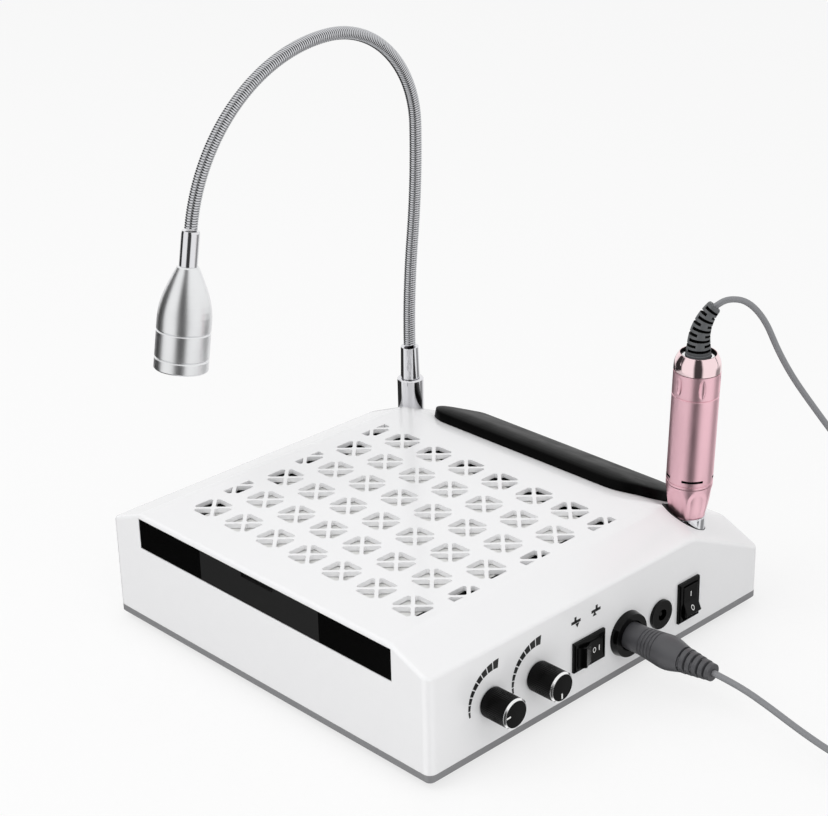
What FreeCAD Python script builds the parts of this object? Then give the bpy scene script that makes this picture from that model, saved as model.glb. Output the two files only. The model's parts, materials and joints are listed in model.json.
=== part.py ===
import FreeCAD, Part
import math
import os

# Nail dust collector with a gooseneck lamp and a drill handpiece in its holder.
# Units are millimetres. +Z is up and the feet stand on z = 0. The front, with the filter
# drawer, faces -Y and the control panel faces +X. Everything is drawn about the middle
# of the case, and save() moves it so that the origin is under the middle of the whole
# object, knobs included.

V = FreeCAD.Vector
X = V(1, 0, 0)
Y = V(0, 1, 0)
Z = V(0, 0, 1)

# Case
caseWide = 220.0
caseDeep = 228.0
cornerR = 4.0
rimR = 1.8
footTall = 3.0
baseThick = 4.6
deckZ = 64.2
deckHalf = 87.0
sideDrop = 9.3
bendY = 63.5
bendR = 30.0
shoulderCut = 2.6
backSlope = 25.0
wall = 2.4
shellZ = footTall + baseThick
right = caseWide / 2
front = -caseDeep / 2
back = caseDeep / 2
inside = right - wall

# Grille of square flowers, each cut by two diagonal ribs into four rounded triangles
grillePitch = 23.0
grilleHalf = 8.1
grilleRib = 1.9
grilleRound = 1.1
grilleMid = V(2.3, -27.3, 0)
grilleRows = 6
grilleColumns = 7

# Board
boardZ = shellZ + 4.4

# Filter drawer
drawerHalf = 87.4
drawerLow = 46.2
drawerHigh = 61.4
frameHalf = 83.4
frameBack = 46.0
frameWall = 3.0
filterTop = 60.3

# Fan
fanMid = V(-15, -20, 0)
fanSide = 120.0
fanTall = 25.0
fanBore = 57.5
rotorR = 55.6
hubR = 20.0
fanBlades = 7

# Control panel: places along Y and heights
knobPlaces = {"fan": (-76.5, 28.7), "motor": (-47.0, 28.7)}
knobR = 7.2
knobFrom = 0.3
knobTip = 15.0
knobBevel = 1.1
directionPlace = (-13.5, 27.2)
lampSwitchPlace = (57.9, 24.4)
socketPlace = (13.4, 24.6)
jackPlace = (37.8, 24.6)
rockerLong = 21.0
rockerShort = 15.0
rockerAngle = 24.0
rockerPivot = -2.2
rockerR = 9.1
rockerFace = 2.3
runningFit = 0.05

# Handpiece and its well
wellMid = V(93.0, 77.6, 62.3)
wellLean = 2.3
wellR = 10.7
wellOff = V(-1.03, -1.09, 0)
wellFloor = 37.2
barrelR = 11.15
noseEnd = 57.5
barrelEnd = 74.6
ringFrom = 120.7
capFrom = 132.9
capEnd = 141.3
boreFrom = 82.0
tipEnd = 37.8

# Lamp
lampX = -88.9
lampY = 69.0
collarTop = 78.2
neckFrom = 96.0
neckR = 3.25
neckArcs = [(452.0, -7.6), (452.0, 7.6), (56.0, 90.0), (92.0, 80.0)]
neckHinges = [25.0, 130.0, 215.0, 305.0]
neckGap = 1.1
headFerrule = 17.0
headLong = 50.4
headR = 13.1

# Cord from the handpiece to its plug
cordR = 1.5
reliefFrom = 138.0
reliefStraight = 7.0
reliefR = 26.5
reliefTurn = 42.0
cordAim = V(0.688, 0.725, 0)
plugEnd = 160.5
coilMid = V(197.0, 118.0, 4.65)
coilR = 16.5
bundleR = 4.6
handpieceRoute = [
    (103.7, 88.8, 168.4), (110.2, 95.7, 167.2), (116.0, 101.9, 157.2), (120.2, 106.2, 142.5),
    (125.7, 112.0, 127.5), (132.9, 119.7, 110.5), (141.8, 129.1, 92.5), (152.5, 139.0, 75.5),
    (164.5, 146.7, 58.5), (178.0, 151.0, 42.5), (191.0, 150.2, 28.0), (202.8, 144.4, 17.0),
    (212.0, 135.6, 10.2)]
plugRoute = [
    (174.0, 13.7, 23.8), (190.0, 14.2, 19.9), (206.0, 13.8, 15.8), (222.0, 14.4, 11.8),
    (236.0, 18.3, 7.2), (246.6, 28.0, 3.4), (250.8, 42.0, 1.7), (248.4, 57.0, 1.6),
    (241.0, 70.8, 1.6), (232.4, 84.0, 1.6), (223.8, 96.6, 1.6), (217.8, 108.0, 1.6),
    (212.9, 119.5, 3.2)]

feetInset = 18.0
screwInset = (11.0, 11.0)
originX = -knobTip / 2


# Shapes

def box(x0, x1, y0, y1, z0, z1):
    return Part.makeBox(x1 - x0, y1 - y0, z1 - z0, V(x0, y0, z0))


def rod(radius, start, direction, length):
    return Part.makeCylinder(radius, length, start, direction)


def pipe(outer, inner, start, direction, length):
    return rod(outer, start, direction, length).cut(rod(inner, start, direction, length))


def spun(profile):
    """A ring or solid turned about Z from (radius, height) corners."""
    points = [V(r, 0, z) for r, z in profile]
    face = Part.Face(Part.makePolygon(points + [points[0]]))
    return face.revolve(V(0, 0, 0), Z, 360)


def prism(corners, direction):
    return Part.Face(Part.makePolygon(corners + [corners[0]])).extrude(direction)


def hexPrism(acrossFlats, start, direction, length):
    corner = acrossFlats / math.sqrt(3)
    side = V(0, 1, 0) if abs(direction.x) > 0.5 else V(1, 0, 0)
    other = direction.cross(side)
    corners = []
    for i in range(6):
        a = math.radians(60 * i)
        corners.append(start + side * (corner * math.cos(a)) + other * (corner * math.sin(a)))
    return prism(corners, direction * length)


def fused(shapes):
    whole = shapes[0]
    for shape in shapes[1:]:
        whole = whole.fuse(shape)
    return whole.removeSplitter()


def group(shapes):
    return Part.makeCompound(shapes)


def save(node, shape):
    moved = shape.copy()
    moved.translate(V(originX, 0, 0))
    moved.exportStep("parts/" + node + ".step")
    solids = len(moved.Solids)
    print(node, "solids", solids, "volume", round(moved.Volume), "valid", moved.isValid())


# Case

def roundedBlock(halfX, halfY, radius, z0, z1):
    block = box(-halfX, halfX, -halfY, halfY, z0, z1)
    upright = [e for e in block.Edges if abs(e.tangentAt(e.FirstParameter).z) > 0.99]
    return block.makeFillet(radius, upright)


def cornerArc(before, corner, after, cut):
    """Start, middle and end of the arc that rounds a corner, cut back along both its sides."""
    come = (before - corner).normalize()
    go = (after - corner).normalize()
    half = come.getAngle(go) / 2
    inward = (come + go).normalize()
    middle = corner + inward * (cut / math.cos(half) - cut * math.tan(half))
    return corner + come * cut, middle, corner + go * cut


def aboveRoof(drop):
    """The space above the roof: deck, side slopes and the slope down to the back."""
    top = deckZ - drop
    reach = 150.0
    low = top - sideDrop * (reach - deckHalf) / (right - deckHalf)
    sky = top + 60
    start = bendY - bendR * math.tan(math.radians(backSlope / 2))
    first = cornerArc(V(-reach, 0, low), V(-deckHalf, 0, top), V(deckHalf, 0, top), shoulderCut)
    second = cornerArc(V(-deckHalf, 0, top), V(deckHalf, 0, top), V(reach, 0, low), shoulderCut)
    stops = [V(-reach, 0, low), first[0], first[2], second[0], second[2], V(reach, 0, low),
             V(reach, 0, sky), V(-reach, 0, sky), V(-reach, 0, low)]
    edges = []
    for here, following in zip(stops, stops[1:]):
        if here in (first[0], second[0]):
            corner = first if here == first[0] else second
            edges.append(Part.Arc(*corner).toShape())
        else:
            edges.append(Part.LineSegment(here, following).toShape())
    face = Part.Face(Part.Wire(edges))
    face.translate(V(0, -reach, 0))
    flat = face.extrude(V(0, reach + start, 0))
    face.translate(V(0, reach + start, 0))
    bend = face.revolve(V(0, start, deckZ - bendR), X, -backSlope)
    turned = face.copy()
    turned.rotate(V(0, start, deckZ - bendR), X, -backSlope)
    a = math.radians(backSlope)
    slope = turned.extrude(V(0, math.cos(a), -math.sin(a)) * reach)
    return flat.fuse(bend).fuse(slope)


def caseSolid(inset, z0):
    block = roundedBlock(right - inset, back - inset, max(cornerR - inset, 1.0), z0, deckZ + 4)
    return block.cut(aboveRoof(inset))


def onBorder(point):
    return abs(point.x) > right - cornerR - 0.1 or abs(point.y) > back - cornerR - 0.1


def roundedRim(solid):
    """Rounds the edges where the roof meets the walls."""
    rim = [e for e in solid.Edges if all(onBorder(v.Point) and v.Z > shellZ + 1 for v in e.Vertexes)]
    return solid.makeFillet(rimR, rim)


def triangleHole(mid, side, cut=None):
    """One rounded triangle of a flower. side turns it by quarter turns from +X."""
    inner = grilleRib / math.sqrt(2)
    reach = grilleHalf
    span = reach - inner
    corners = [V(inner, 0, 0), V(reach, -span, 0), V(reach, span, 0)]
    arcs = []
    for i in range(3):
        before, corner, after = corners[i - 1], corners[i], corners[(i + 1) % 3]
        half = (before - corner).getAngle(after - corner) / 2
        arcs.append(cornerArc(before, corner, after, grilleRound / math.tan(half)))
    edges = []
    for i in range(3):
        edges.append(Part.Arc(*arcs[i]).toShape())
        edges.append(Part.LineSegment(arcs[i][2], arcs[(i + 1) % 3][0]).toShape())
    hole = Part.Face(Part.Wire(edges)).extrude(V(0, 0, 12))
    hole.rotate(V(0, 0, 0), Z, 90 * side)
    hole.translate(V(mid.x, mid.y, deckZ - 8))
    if cut is not None:
        hole = hole.common(cut)
    return hole


def grilleHoles():
    holes = []
    for row in range(grilleRows):
        y = grilleMid.y + (row - (grilleRows - 1) / 2) * grillePitch
        odd = row % 2
        count = grilleColumns - odd
        for i in range(count):
            x = grilleMid.x + (i - (count - 1) / 2) * grillePitch
            holes += [triangleHole(V(x, y, 0), side) for side in range(4)]
        if odd:
            reach = grilleColumns / 2 * grillePitch
            for sign in (-1, 1):
                mid = V(grilleMid.x + sign * reach, y, 0)
                keep = box(0, 20, -20, 20, -20, 20)
                keep.translate(V(grilleRib / 2, 0, 0))
                if sign > 0:
                    keep.rotate(V(0, 0, 0), Z, 180)
                keep.translate(V(mid.x, mid.y, deckZ))
                holes.append(triangleHole(mid, 0 if sign < 0 else 2))
                holes += [triangleHole(mid, side, keep) for side in (1, 3)]
    return holes


def leaned(shape):
    """Puts a shape drawn on the Z axis onto the well's leaning axis."""
    shape.translate(V(0, 0, -wellMid.z))
    shape.rotate(V(0, 0, 0), Y, wellLean)
    shape.translate(wellMid)
    return shape


def panelWindow(place, wide, tall):
    y, z = place
    return box(inside - 3, right + 3, y - wide / 2, y + wide / 2, z - tall / 2, z + tall / 2)


def postPlaces():
    dx, dy = screwInset
    return [V(sx * (right - dx), sy * (back - dy), 0) for sx in (-1, 1) for sy in (-1, 1)]


def topShell():
    outer = caseSolid(0, shellZ)
    skin = roundedRim(outer)
    shell = skin.cut(caseSolid(wall, shellZ - 1))
    posts = [rod(4.0, V(p.x, p.y, shellZ), Z, 50).common(outer) for p in postPlaces()]
    well = leaned(rod(wellR + 1.8, wellOff + V(0, 0, wellFloor - 2), Z, 60)).common(outer)
    shell = fused([shell, well] + posts)
    cuts = grilleHoles()
    cuts += [rod(1.5, V(p.x, p.y, shellZ - 1), Z, 15) for p in postPlaces()]
    cuts.append(leaned(rod(wellR, wellOff + V(0, 0, wellFloor), Z, 60)))
    cuts.append(box(-drawerHalf - 0.4, drawerHalf + 0.4, front - 1, front + wall + 0.2,
                    drawerLow - 0.4, drawerHigh + 0.3))
    for y, z in knobPlaces.values():
        cuts.append(rod(3.6, V(inside - 2, y, z), X, 8))
    cuts.append(panelWindow(directionPlace, 19.2, 13.2))
    cuts.append(panelWindow(lampSwitchPlace, 13.2, 19.2))
    cuts.append(rod(9.0, V(inside - 2, *socketPlace), X, 8))
    cuts.append(rod(5.8, V(inside - 2, *jackPlace), X, 8))
    cuts.append(rod(5.1, V(lampX, lampY, 50), Z, 20))
    for i in range(14):
        x = (i - 6.5) * 8.0
        cuts.append(box(x - 1.6, x + 1.6, back - wall - 1, back + 1, 13, 27))
    return shell.cut(Part.makeCompound(cuts))


def basePlate():
    plate = roundedBlock(right, back, cornerR, footTall, shellZ)
    under = [e for e in plate.Edges if e.BoundBox.ZMax < footTall + 0.1]
    plate = plate.makeChamfer(1.2, under)
    cuts = [rod(1.7, V(p.x, p.y, 0), Z, 20) for p in postPlaces()]
    cuts += [Part.makeCone(3.2, 1.7, 1.6, V(p.x, p.y, footTall), Z) for p in postPlaces()]
    for i in range(9):
        x = fanMid.x + (i - 4) * 11.0
        half = math.sqrt(50.0 ** 2 - (x - fanMid.x) ** 2)
        cuts.append(box(x - 2.5, x + 2.5, fanMid.y - half, fanMid.y + half, 0, 10))
    pegs = [rod(3.0, V(x, y, shellZ), Z, 4.4) for x, y in boardHoles()]
    cuts += [rod(1.25, V(x, y, shellZ - 2), Z, 10) for x, y in boardHoles()]
    cuts += [rod(1.6, p + V(0, 0, footTall + 1.5), Z, 10) for p in fanHoles()]
    return fused([plate] + pegs).cut(Part.makeCompound(cuts))


def feet():
    places = [(sx * (right - feetInset), sy * (back - feetInset)) for sx in (-1, 1) for sy in (-1, 1)]
    return group([Part.makeCone(6.2, 7.0, footTall, V(x, y, 0), Z) for x, y in places])


def baseScrews():
    screws = []
    for p in postPlaces():
        head = Part.makeCone(3.1, 1.5, 1.6, V(p.x, p.y, footTall + 0.05), Z)
        screws.append(fused([head, rod(1.5, V(p.x, p.y, footTall + 1.5), Z, 14)]))
    return group(screws)


# Filter drawer

def drawerFront():
    panel = box(-drawerHalf, drawerHalf, front, front + 3.0, drawerLow, drawerHigh)
    pull = box(-11, 11, front - 1, front + 1.6, drawerHigh - 2.2, drawerHigh + 1)
    return panel.cut(pull)


def filterFrame():
    y0 = front + 3.0
    outer = box(-frameHalf, frameHalf, y0, frameBack, drawerLow + 0.4, filterTop + 0.5)
    inner = box(-frameHalf + frameWall, frameHalf - frameWall, y0 + frameWall,
                frameBack - frameWall, drawerLow - 1, filterTop + 2)
    bars = []
    for i in range(1, 6):
        y = y0 + i * (frameBack - y0) / 6
        bars.append(box(-frameHalf + 1, frameHalf - 1, y - 1, y + 1, drawerLow + 0.4, drawerLow + 2.4))
    for i in range(-2, 3):
        x = i * 27.0
        bars.append(box(x - 1, x + 1, y0 + 1, frameBack - 1, drawerLow + 0.4, drawerLow + 2.4))
    return fused([outer.cut(inner)] + bars)


def filterMedia():
    gap = 0.1
    return box(-frameHalf + frameWall + gap, frameHalf - frameWall - gap,
               front + 3 + frameWall + gap, frameBack - frameWall - gap, drawerLow + 2.4, filterTop)


def drawerRails():
    rails = []
    for sign in (-1, 1):
        post = box(85.2, 87.4, front + 6, 50, shellZ, 58)
        ledge = box(77.0, 85.4, front + 6, 50, drawerLow - 2.2, drawerLow + 0.3)
        rail = fused([post, ledge])
        if sign < 0:
            rail = rail.mirror(V(0, 0, 0), X)
        rails.append(rail)
    return group(rails)


# Fan

def fanHoles():
    reach = fanSide / 2 - 7.5
    return [V(fanMid.x + sx * reach, fanMid.y + sy * reach, 0) for sx in (-1, 1) for sy in (-1, 1)]


def fanFrame():
    half = fanSide / 2
    z0 = shellZ
    body = box(fanMid.x - half, fanMid.x + half, fanMid.y - half, fanMid.y + half, z0, z0 + fanTall)
    upright = [e for e in body.Edges if abs(e.tangentAt(e.FirstParameter).z) > 0.99]
    body = body.makeFillet(5.0, upright)
    body = body.cut(rod(fanBore, fanMid + V(0, 0, z0 - 1), Z, fanTall + 2))
    hub = rod(21.0, fanMid + V(0, 0, z0), Z, 3.0)
    arms = []
    for i in range(4):
        arm = box(15, fanBore + 2, -2, 2, z0, z0 + 3.0)
        arm.rotate(V(0, 0, 0), Z, 90 * i + 20)
        arm.translate(fanMid)
        arms.append(arm)
    frame = fused([body, hub] + arms)
    return frame.cut(Part.makeCompound([rod(2.15, p, Z, 60) for p in fanHoles()]))


def fanStator():
    z0 = shellZ + 3.0
    core = pipe(14.0, 1.5 + runningFit, fanMid + V(0, 0, z0), Z, 12.0)
    slots = []
    for i in range(8):
        slot = box(9, 16, -1.2, 1.2, z0 + 2, z0 + 13)
        slot.rotate(V(0, 0, 0), Z, 45 * i)
        slot.translate(fanMid)
        slots.append(slot)
    return core.cut(Part.makeCompound(slots))


def fanRotor():
    z0 = shellZ + 4.0
    cup = spun([(17.5, z0), (hubR, z0), (hubR, z0 + 18.5), (18.0, z0 + 20.5),
                (0, z0 + 20.5), (0, z0 + 17.5), (17.5, z0 + 17.5)])
    shaft = rod(1.5, V(0, 0, z0 - 0.6), Z, 19)
    blades = []
    for i in range(fanBlades):
        blade = box(hubR - 1.5, rotorR, -12.5, 12.5, -0.8, 0.8)
        blade.rotate(V(0, 0, 0), X, 34)
        blade.translate(V(0, 0, z0 + 9.5))
        blade = blade.common(pipe(rotorR, hubR - 1.5, V(0, 0, z0), Z, 19))
        blade.rotate(V(0, 0, 0), Z, 360.0 / fanBlades * i)
        blades.append(blade)
    rotor = fused([cup, shaft] + blades)
    rotor.translate(fanMid)
    return rotor


def fanScrews():
    z1 = shellZ + fanTall
    screws = []
    for p in fanHoles():
        head = rod(3.4, p + V(0, 0, z1), Z, 2.0)
        stem = rod(1.6, p + V(0, 0, footTall + 1.6), Z, z1 - footTall - 1.6)
        screws.append(fused([head, stem]))
    return group(screws)


# Board

def boardHoles():
    return [(x, y) for x in (52.0, 72.0) for y in (-58.0, 34.0)]


def controlBoard():
    board = box(48, 76, -62, 38, boardZ, boardZ + 1.6)
    return board.cut(Part.makeCompound([rod(1.6, V(x, y, boardZ - 1), Z, 4) for x, y in boardHoles()]))


def boardScrews():
    screws = []
    for x, y in boardHoles():
        head = rod(2.4, V(x, y, boardZ + 1.6), Z, 1.6)
        screws.append(fused([head, rod(1.25, V(x, y, boardZ - 4), Z, 5.6)]))
    return group(screws)


def boardParts():
    z = boardZ + 1.6
    parts = [rod(4.0, V(58, -44 + 10 * i, z), Z, 11) for i in range(3)]
    parts.append(box(66, 74, -46, -30, z, z + 9))
    parts.append(box(56, 68, -8, 4, z, z + 3))
    parts += [box(50, 56, y, y + 12, z, z + 6) for y in (5, 18)]
    parts.append(box(68, 71, 8, 22, z, z + 14))
    return group(parts)


# Controls

def potBody(place):
    y, z = place
    case_ = box(inside - 8.5, inside, y - 8.0, y + 8.0, z - 9.0, z + 8.0)
    bush = rod(3.5, V(inside, y, z), X, 5.6)
    whole = fused([case_, bush])
    return whole.cut(rod(3.0 + runningFit, V(inside - 7, y, z), X, 20))


def panelNuts():
    """The nuts of both potentiometers outside the panel, and of the sockets inside it."""
    nuts = []
    for y, z in knobPlaces.values():
        nut = hexPrism(9.0, V(right, y, z), X, 2.2)
        nuts.append(nut.cut(rod(3.5, V(right - 1, y, z), X, 5)))
    y, z = socketPlace
    nut = hexPrism(21.0, V(inside - 2.6, y, z), X, 2.6)
    nuts.append(nut.cut(rod(8.8, V(80, y, z), X, 40)))
    y, z = jackPlace
    nut = hexPrism(14.0, V(inside - 2.2, y, z), X, 2.2)
    nuts.append(nut.cut(rod(5.6, V(90, y, z), X, 30)))
    return group(nuts)


def potShaft(place):
    y, z = place
    return rod(3.0, V(inside - 6.5, y, z), X, right + 13.0 - (inside - 6.5))


def knob(place):
    y, z = place
    length = knobTip - knobFrom
    body = rod(knobR, V(right + knobFrom, y, z), X, length)
    rim = [e for e in body.Edges if e.BoundBox.XMin > right + knobTip - 0.1]
    body = body.makeChamfer(knobBevel, rim)
    body = body.cut(rod(6.0, V(right, y, z), X, 3.5))
    body = body.cut(rod(3.0, V(right, y, z), X, 13.0))
    cuts = []
    for i in range(24):
        a = math.radians(15 * i)
        groove = rod(0.35, V(right + knobFrom - 1, y + (knobR + 0.1) * math.cos(a),
                             z + (knobR + 0.1) * math.sin(a)), X, length - 1.0)
        cuts.append(groove)
    return body.cut(Part.makeCompound(cuts))


def rockerHousing():
    """A switch standing on x = 0, its long side along Y, cavity open towards +X."""
    bezel = box(0, 2.0, -rockerLong / 2, rockerLong / 2, -rockerShort / 2, rockerShort / 2)
    face = [e for e in bezel.Edges if e.BoundBox.XMin > 1.9]
    bezel = bezel.makeChamfer(0.7, face)
    can = box(-16, 0.5, -9.5, 9.5, -6.5, 6.5)
    tabs = [box(-21, -15, y - 2.4, y + 2.4, -0.4, 0.4) for y in (-6.2, 6.2)]
    room = box(-12.5, 3, -9.2, 9.2, -5.3, 5.3)
    return fused([bezel, can] + tabs).cut(room)


def rocker():
    """The rocker, pressed at +Y and standing out at -Y, turning about Z through the pivot."""
    rise = 12 * math.tan(math.radians(rockerAngle))
    faces = [V(rockerFace, 12, -6), V(rockerFace, 0, -6), V(rockerFace + rise, -12, -6),
             V(-9.5, -12, -6), V(-9.5, 12, -6)]
    drum = rod(rockerR, V(rockerPivot, 0, -5.1), Z, 10.2)
    pin = rod(1.5, V(rockerPivot, 0, -5.25), Z, 10.5)
    return fused([drum.common(prism(faces, V(0, 0, 12))), pin])


def placedSwitch(shape, place, turned):
    if turned:
        shape.rotate(V(0, 0, 0), X, 90)
    shape.translate(V(right, place[0], place[1]))
    return shape


def motorSocket():
    y, z = socketPlace
    ring = Part.makeCone(11.3, 10.6, 3.6, V(right, y, z), X)
    barrel = rod(8.8, V(89.0, y, z), X, right - 89.0 + 0.5)
    whole = fused([ring, barrel])
    whole = whole.cut(rod(7.4, V(104.0, y, z), X, 20))
    return whole.cut(rod(5.1, V(92.0, y, z), X, 20))


def powerJack():
    y, z = jackPlace
    flange = rod(7.4, V(right, y, z), X, 1.6)
    edge = [e for e in flange.Edges if e.BoundBox.XMin > right + 1.5]
    flange = flange.makeFillet(0.5, edge)
    body = rod(5.6, V(96, y, z), X, 14.5)
    socket = fused([flange, body]).cut(rod(2.9, V(99, y, z), X, 20))
    pin = rod(1.0, V(98.5, y, z), X, 12.0)
    return fused([socket, pin])


def onPanel(profile, place):
    """Turns a (radius, x) outline about the axis through a place on the panel."""
    solid = spun([(r, x) for r, x in profile])
    solid.rotate(V(0, 0, 0), Y, 90)
    solid.translate(V(0, place[0], place[1]))
    return solid


def plugBody():
    return onPanel([(0, 104.5), (6.7, 104.5), (6.7, 121), (7.6, 128), (8.1, 134), (7.8, 139),
                    (6.3, 144), (0, 144)], socketPlace)


def plugBarrel():
    return onPanel([(0, 93.5), (5.0, 93.5), (5.0, 104.5), (0, 104.5)], socketPlace)


def plugRelief():
    outline = [(0, 144), (6.0, 144)]
    ribs = 4
    pitch = (plugEnd - 144) / ribs
    for i in range(ribs):
        x = 144 + pitch * i
        r = 6.0 - 0.5 * i
        outline += [(r, x + pitch * 0.6), (r - 1.2, x + pitch * 0.62), (r - 1.2, x + pitch)]
        if i < ribs - 1:
            outline.append((r - 0.5, x + pitch * 1.02))
    outline.append((0, plugEnd))
    return onPanel(outline, socketPlace)


# Handpiece, drawn on the Z axis at the heights it has in its well

def noseSleeve():
    sleeve = spun([(6.45, noseEnd), (8.4, noseEnd), (8.7, noseEnd + 0.5), (10.5, 68.8),
                   (11.05, 73.0), (barrelR, barrelEnd - 0.2), (6.45, barrelEnd - 0.2)])
    flutes = []
    for i in range(6):
        a = math.radians(60 * i - 36)
        flute = Part.makeCylinder(3.0, 16, V(12.7 * math.cos(a), 12.7 * math.sin(a), 56), Z)
        flutes.append(flute)
    return leaned(sleeve.cut(Part.makeCompound(flutes)))


def tipHousing():
    return leaned(spun([(3.0 + runningFit, tipEnd + 0.6), (4.4, tipEnd + 0.6), (6.4, 48.5), (8.4, 50.5),
                        (8.4, noseEnd - 0.2), (6.4, noseEnd - 0.2), (6.4, boreFrom),
                        (3.0 + runningFit, boreFrom)]))


def barrel():
    tube = spun([(6.4, barrelEnd), (barrelR, barrelEnd), (barrelR, 75.9), (barrelR - 0.3, 76.1),
                 (barrelR - 0.3, 76.4), (barrelR, 76.6), (barrelR, ringFrom - 0.3),
                 (barrelR - 0.4, ringFrom), (9.6, ringFrom), (9.6, boreFrom), (6.4, boreFrom)])
    slits = []
    for i in range(4):
        slit = box(9.9, 13, -4.6, 4.6, 78.2, 79.3)
        slit.rotate(V(0, 0, 0), Z, 90 * i - 45)
        slits.append(slit)
    return leaned(tube.cut(Part.makeCompound(slits)))


def gripRing():
    ring = spun([(9.6, ringFrom), (barrelR - 0.4, ringFrom), (barrelR, ringFrom + 0.3),
                 (barrelR, capFrom), (9.6, capFrom)])
    dimples = []
    for i in range(6):
        bow = 12.0
        coin = rod(bow, V(barrelR + bow - 0.9, -1.6, (ringFrom + capFrom) / 2), Y, 3.2)
        coin.rotate(V(0, 0, 0), Z, 60 * i - 36)
        dimples.append(coin)
    return leaned(ring.cut(Part.makeCompound(dimples)))


def rearCap():
    return leaned(spun([(9.6, capFrom), (barrelR, capFrom), (barrelR - 0.1, capFrom + 3), (10.7, capFrom + 5.5),
                        (9.9, capFrom + 7.2), (8.95, capEnd), (7.9, capEnd), (7.9, capFrom + 2),
                        (9.6, capFrom + 2)]))


def capRing():
    return leaned(pipe(7.9, 6.3, V(0, 0, capEnd - 3.0), Z, 1.6))


def motorCan():
    return leaned(rod(9.6, V(0, 0, boreFrom + 2), Z, 46))


def spindle():
    shaft = rod(3.0, V(0, 0, tipEnd), Z, boreFrom - tipEnd)
    return leaned(shaft.cut(rod(1.18, V(0, 0, tipEnd - 1), Z, 16)))


def reliefPath():
    """Centre, direction and radius at stations along the handpiece's bent strain relief."""
    a = math.radians(wellLean)
    base = wellMid + V(math.sin(a), 0, math.cos(a)) * (reliefFrom - wellMid.z)
    stations = [(base, Z, 5.9), (base + Z * reliefStraight, Z, 5.6)]
    for i in range(1, 5):
        t = math.radians(reliefTurn * i / 4)
        point = base + Z * (reliefStraight + reliefR * math.sin(t)) + cordAim * (reliefR * (1 - math.cos(t)))
        stations.append((point, Z * math.cos(t) + cordAim * math.sin(t), 5.6 - 0.55 * i))
    return stations


def handpieceRelief():
    rings = []
    for point, direction, radius in reliefPath():
        rings.append(Part.Wire(Part.makeCircle(radius, point, direction)))
    return Part.makeLoft(rings, True)


# Cord

def roundedRoute(points):
    """Straight runs joined by the largest tangent arcs that the runs allow."""
    edges = []
    radii = []
    here = points[0]
    for before, corner, after in zip(points, points[1:], points[2:]):
        half = (before - corner).getAngle(after - corner) / 2
        cut = 0.45 * min((before - corner).Length, (after - corner).Length)
        radii.append(cut * math.tan(half))
        start, middle, end = cornerArc(before, corner, after, cut)
        edges.append(Part.LineSegment(here, start).toShape())
        edges.append(Part.Arc(start, middle, end).toShape())
        here = end
    edges.append(Part.LineSegment(here, points[-1]).toShape())
    return Part.Wire(edges), radii


def cordTube(name, points):
    path, radii = roundedRoute(points)
    start = points[0]
    direction = (points[1] - points[0]).normalize()
    ring = Part.Wire(Part.makeCircle(cordR, start, direction))
    tube = path.makePipeShell([ring], True, False)
    section = math.pi * cordR ** 2
    ratio = tube.Volume / (section * path.Length)
    print(name, "length", round(path.Length), "volume ratio", round(ratio, 4),
          "radii", [round(r) for r in radii])
    return tube


def handpieceCord():
    start = reliefPath()[-1][0]
    return cordTube("handpiece run", [start] + [V(*p) for p in handpieceRoute])


def plugCord():
    return cordTube("plug run", [V(plugEnd, *socketPlace)] + [V(*p) for p in plugRoute])


def cordCoil():
    return Part.makeTorus(coilR, bundleR, coilMid)


# Lamp

def arcPlaces(length):
    """Point and heading at a length along the gooseneck, whose arcs lie in a plane of X."""
    point = V(lampX, lampY, neckFrom)
    heading = math.radians(90)
    left = length
    for radius, turn in neckArcs:
        sign = 1 if turn > 0 else -1
        centre = point + V(0, math.cos(heading + sign * math.pi / 2),
                           math.sin(heading + sign * math.pi / 2)) * radius
        arc = radius * math.radians(abs(turn))
        step = min(left, arc) / radius * sign
        spoke = point - centre
        c, s = math.cos(step), math.sin(step)
        point = centre + V(0, spoke.y * c - spoke.z * s, spoke.y * s + spoke.z * c)
        heading += step
        left -= min(left, arc)
        if left <= 1e-9:
            break
    return point, V(0, math.cos(heading), math.sin(heading))


def neckLength():
    return sum(radius * math.radians(abs(turn)) for radius, turn in neckArcs)


def neckJoins():
    marks = [0.0]
    for radius, turn in neckArcs:
        marks.append(marks[-1] + radius * math.radians(abs(turn)))
    return marks


def neckRod(start, end):
    inner = [m for m in neckJoins() if start + 0.5 < m < end - 0.5]
    stops = [start] + inner + [end]
    edges = []
    for a, b in zip(stops, stops[1:]):
        edges.append(Part.Arc(arcPlaces(a)[0], arcPlaces((a + b) / 2)[0], arcPlaces(b)[0]).toShape())
    point, direction = arcPlaces(start)
    ring = Part.Wire(Part.makeCircle(neckR, point, direction))
    return Part.Wire(edges).makePipeShell([ring], True, False)


def neckLinks():
    """Rods between the bending places; a round knuckle on each rod sits in the next one's slot."""
    ends = [0.0] + neckHinges + [neckLength()]
    links = []
    for i, (a, b) in enumerate(zip(ends, ends[1:])):
        first = i == 0
        last = i == len(ends) - 2
        link = neckRod(a if first else a + neckGap, b if last else b - neckGap)
        if not last:
            knuckle, direction = arcPlaces(b)
            tongue = rod(1.3, knuckle - direction * 2.2, direction, 2.2)
            link = fused([link, tongue, rod(2.0, knuckle - X * 1.7, X, 3.4)])
        if not first:
            link = link.cut(rod(2.0 + runningFit, arcPlaces(a)[0] - X * 1.8, X, 3.6))
        links.append(link)
    return links


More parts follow.
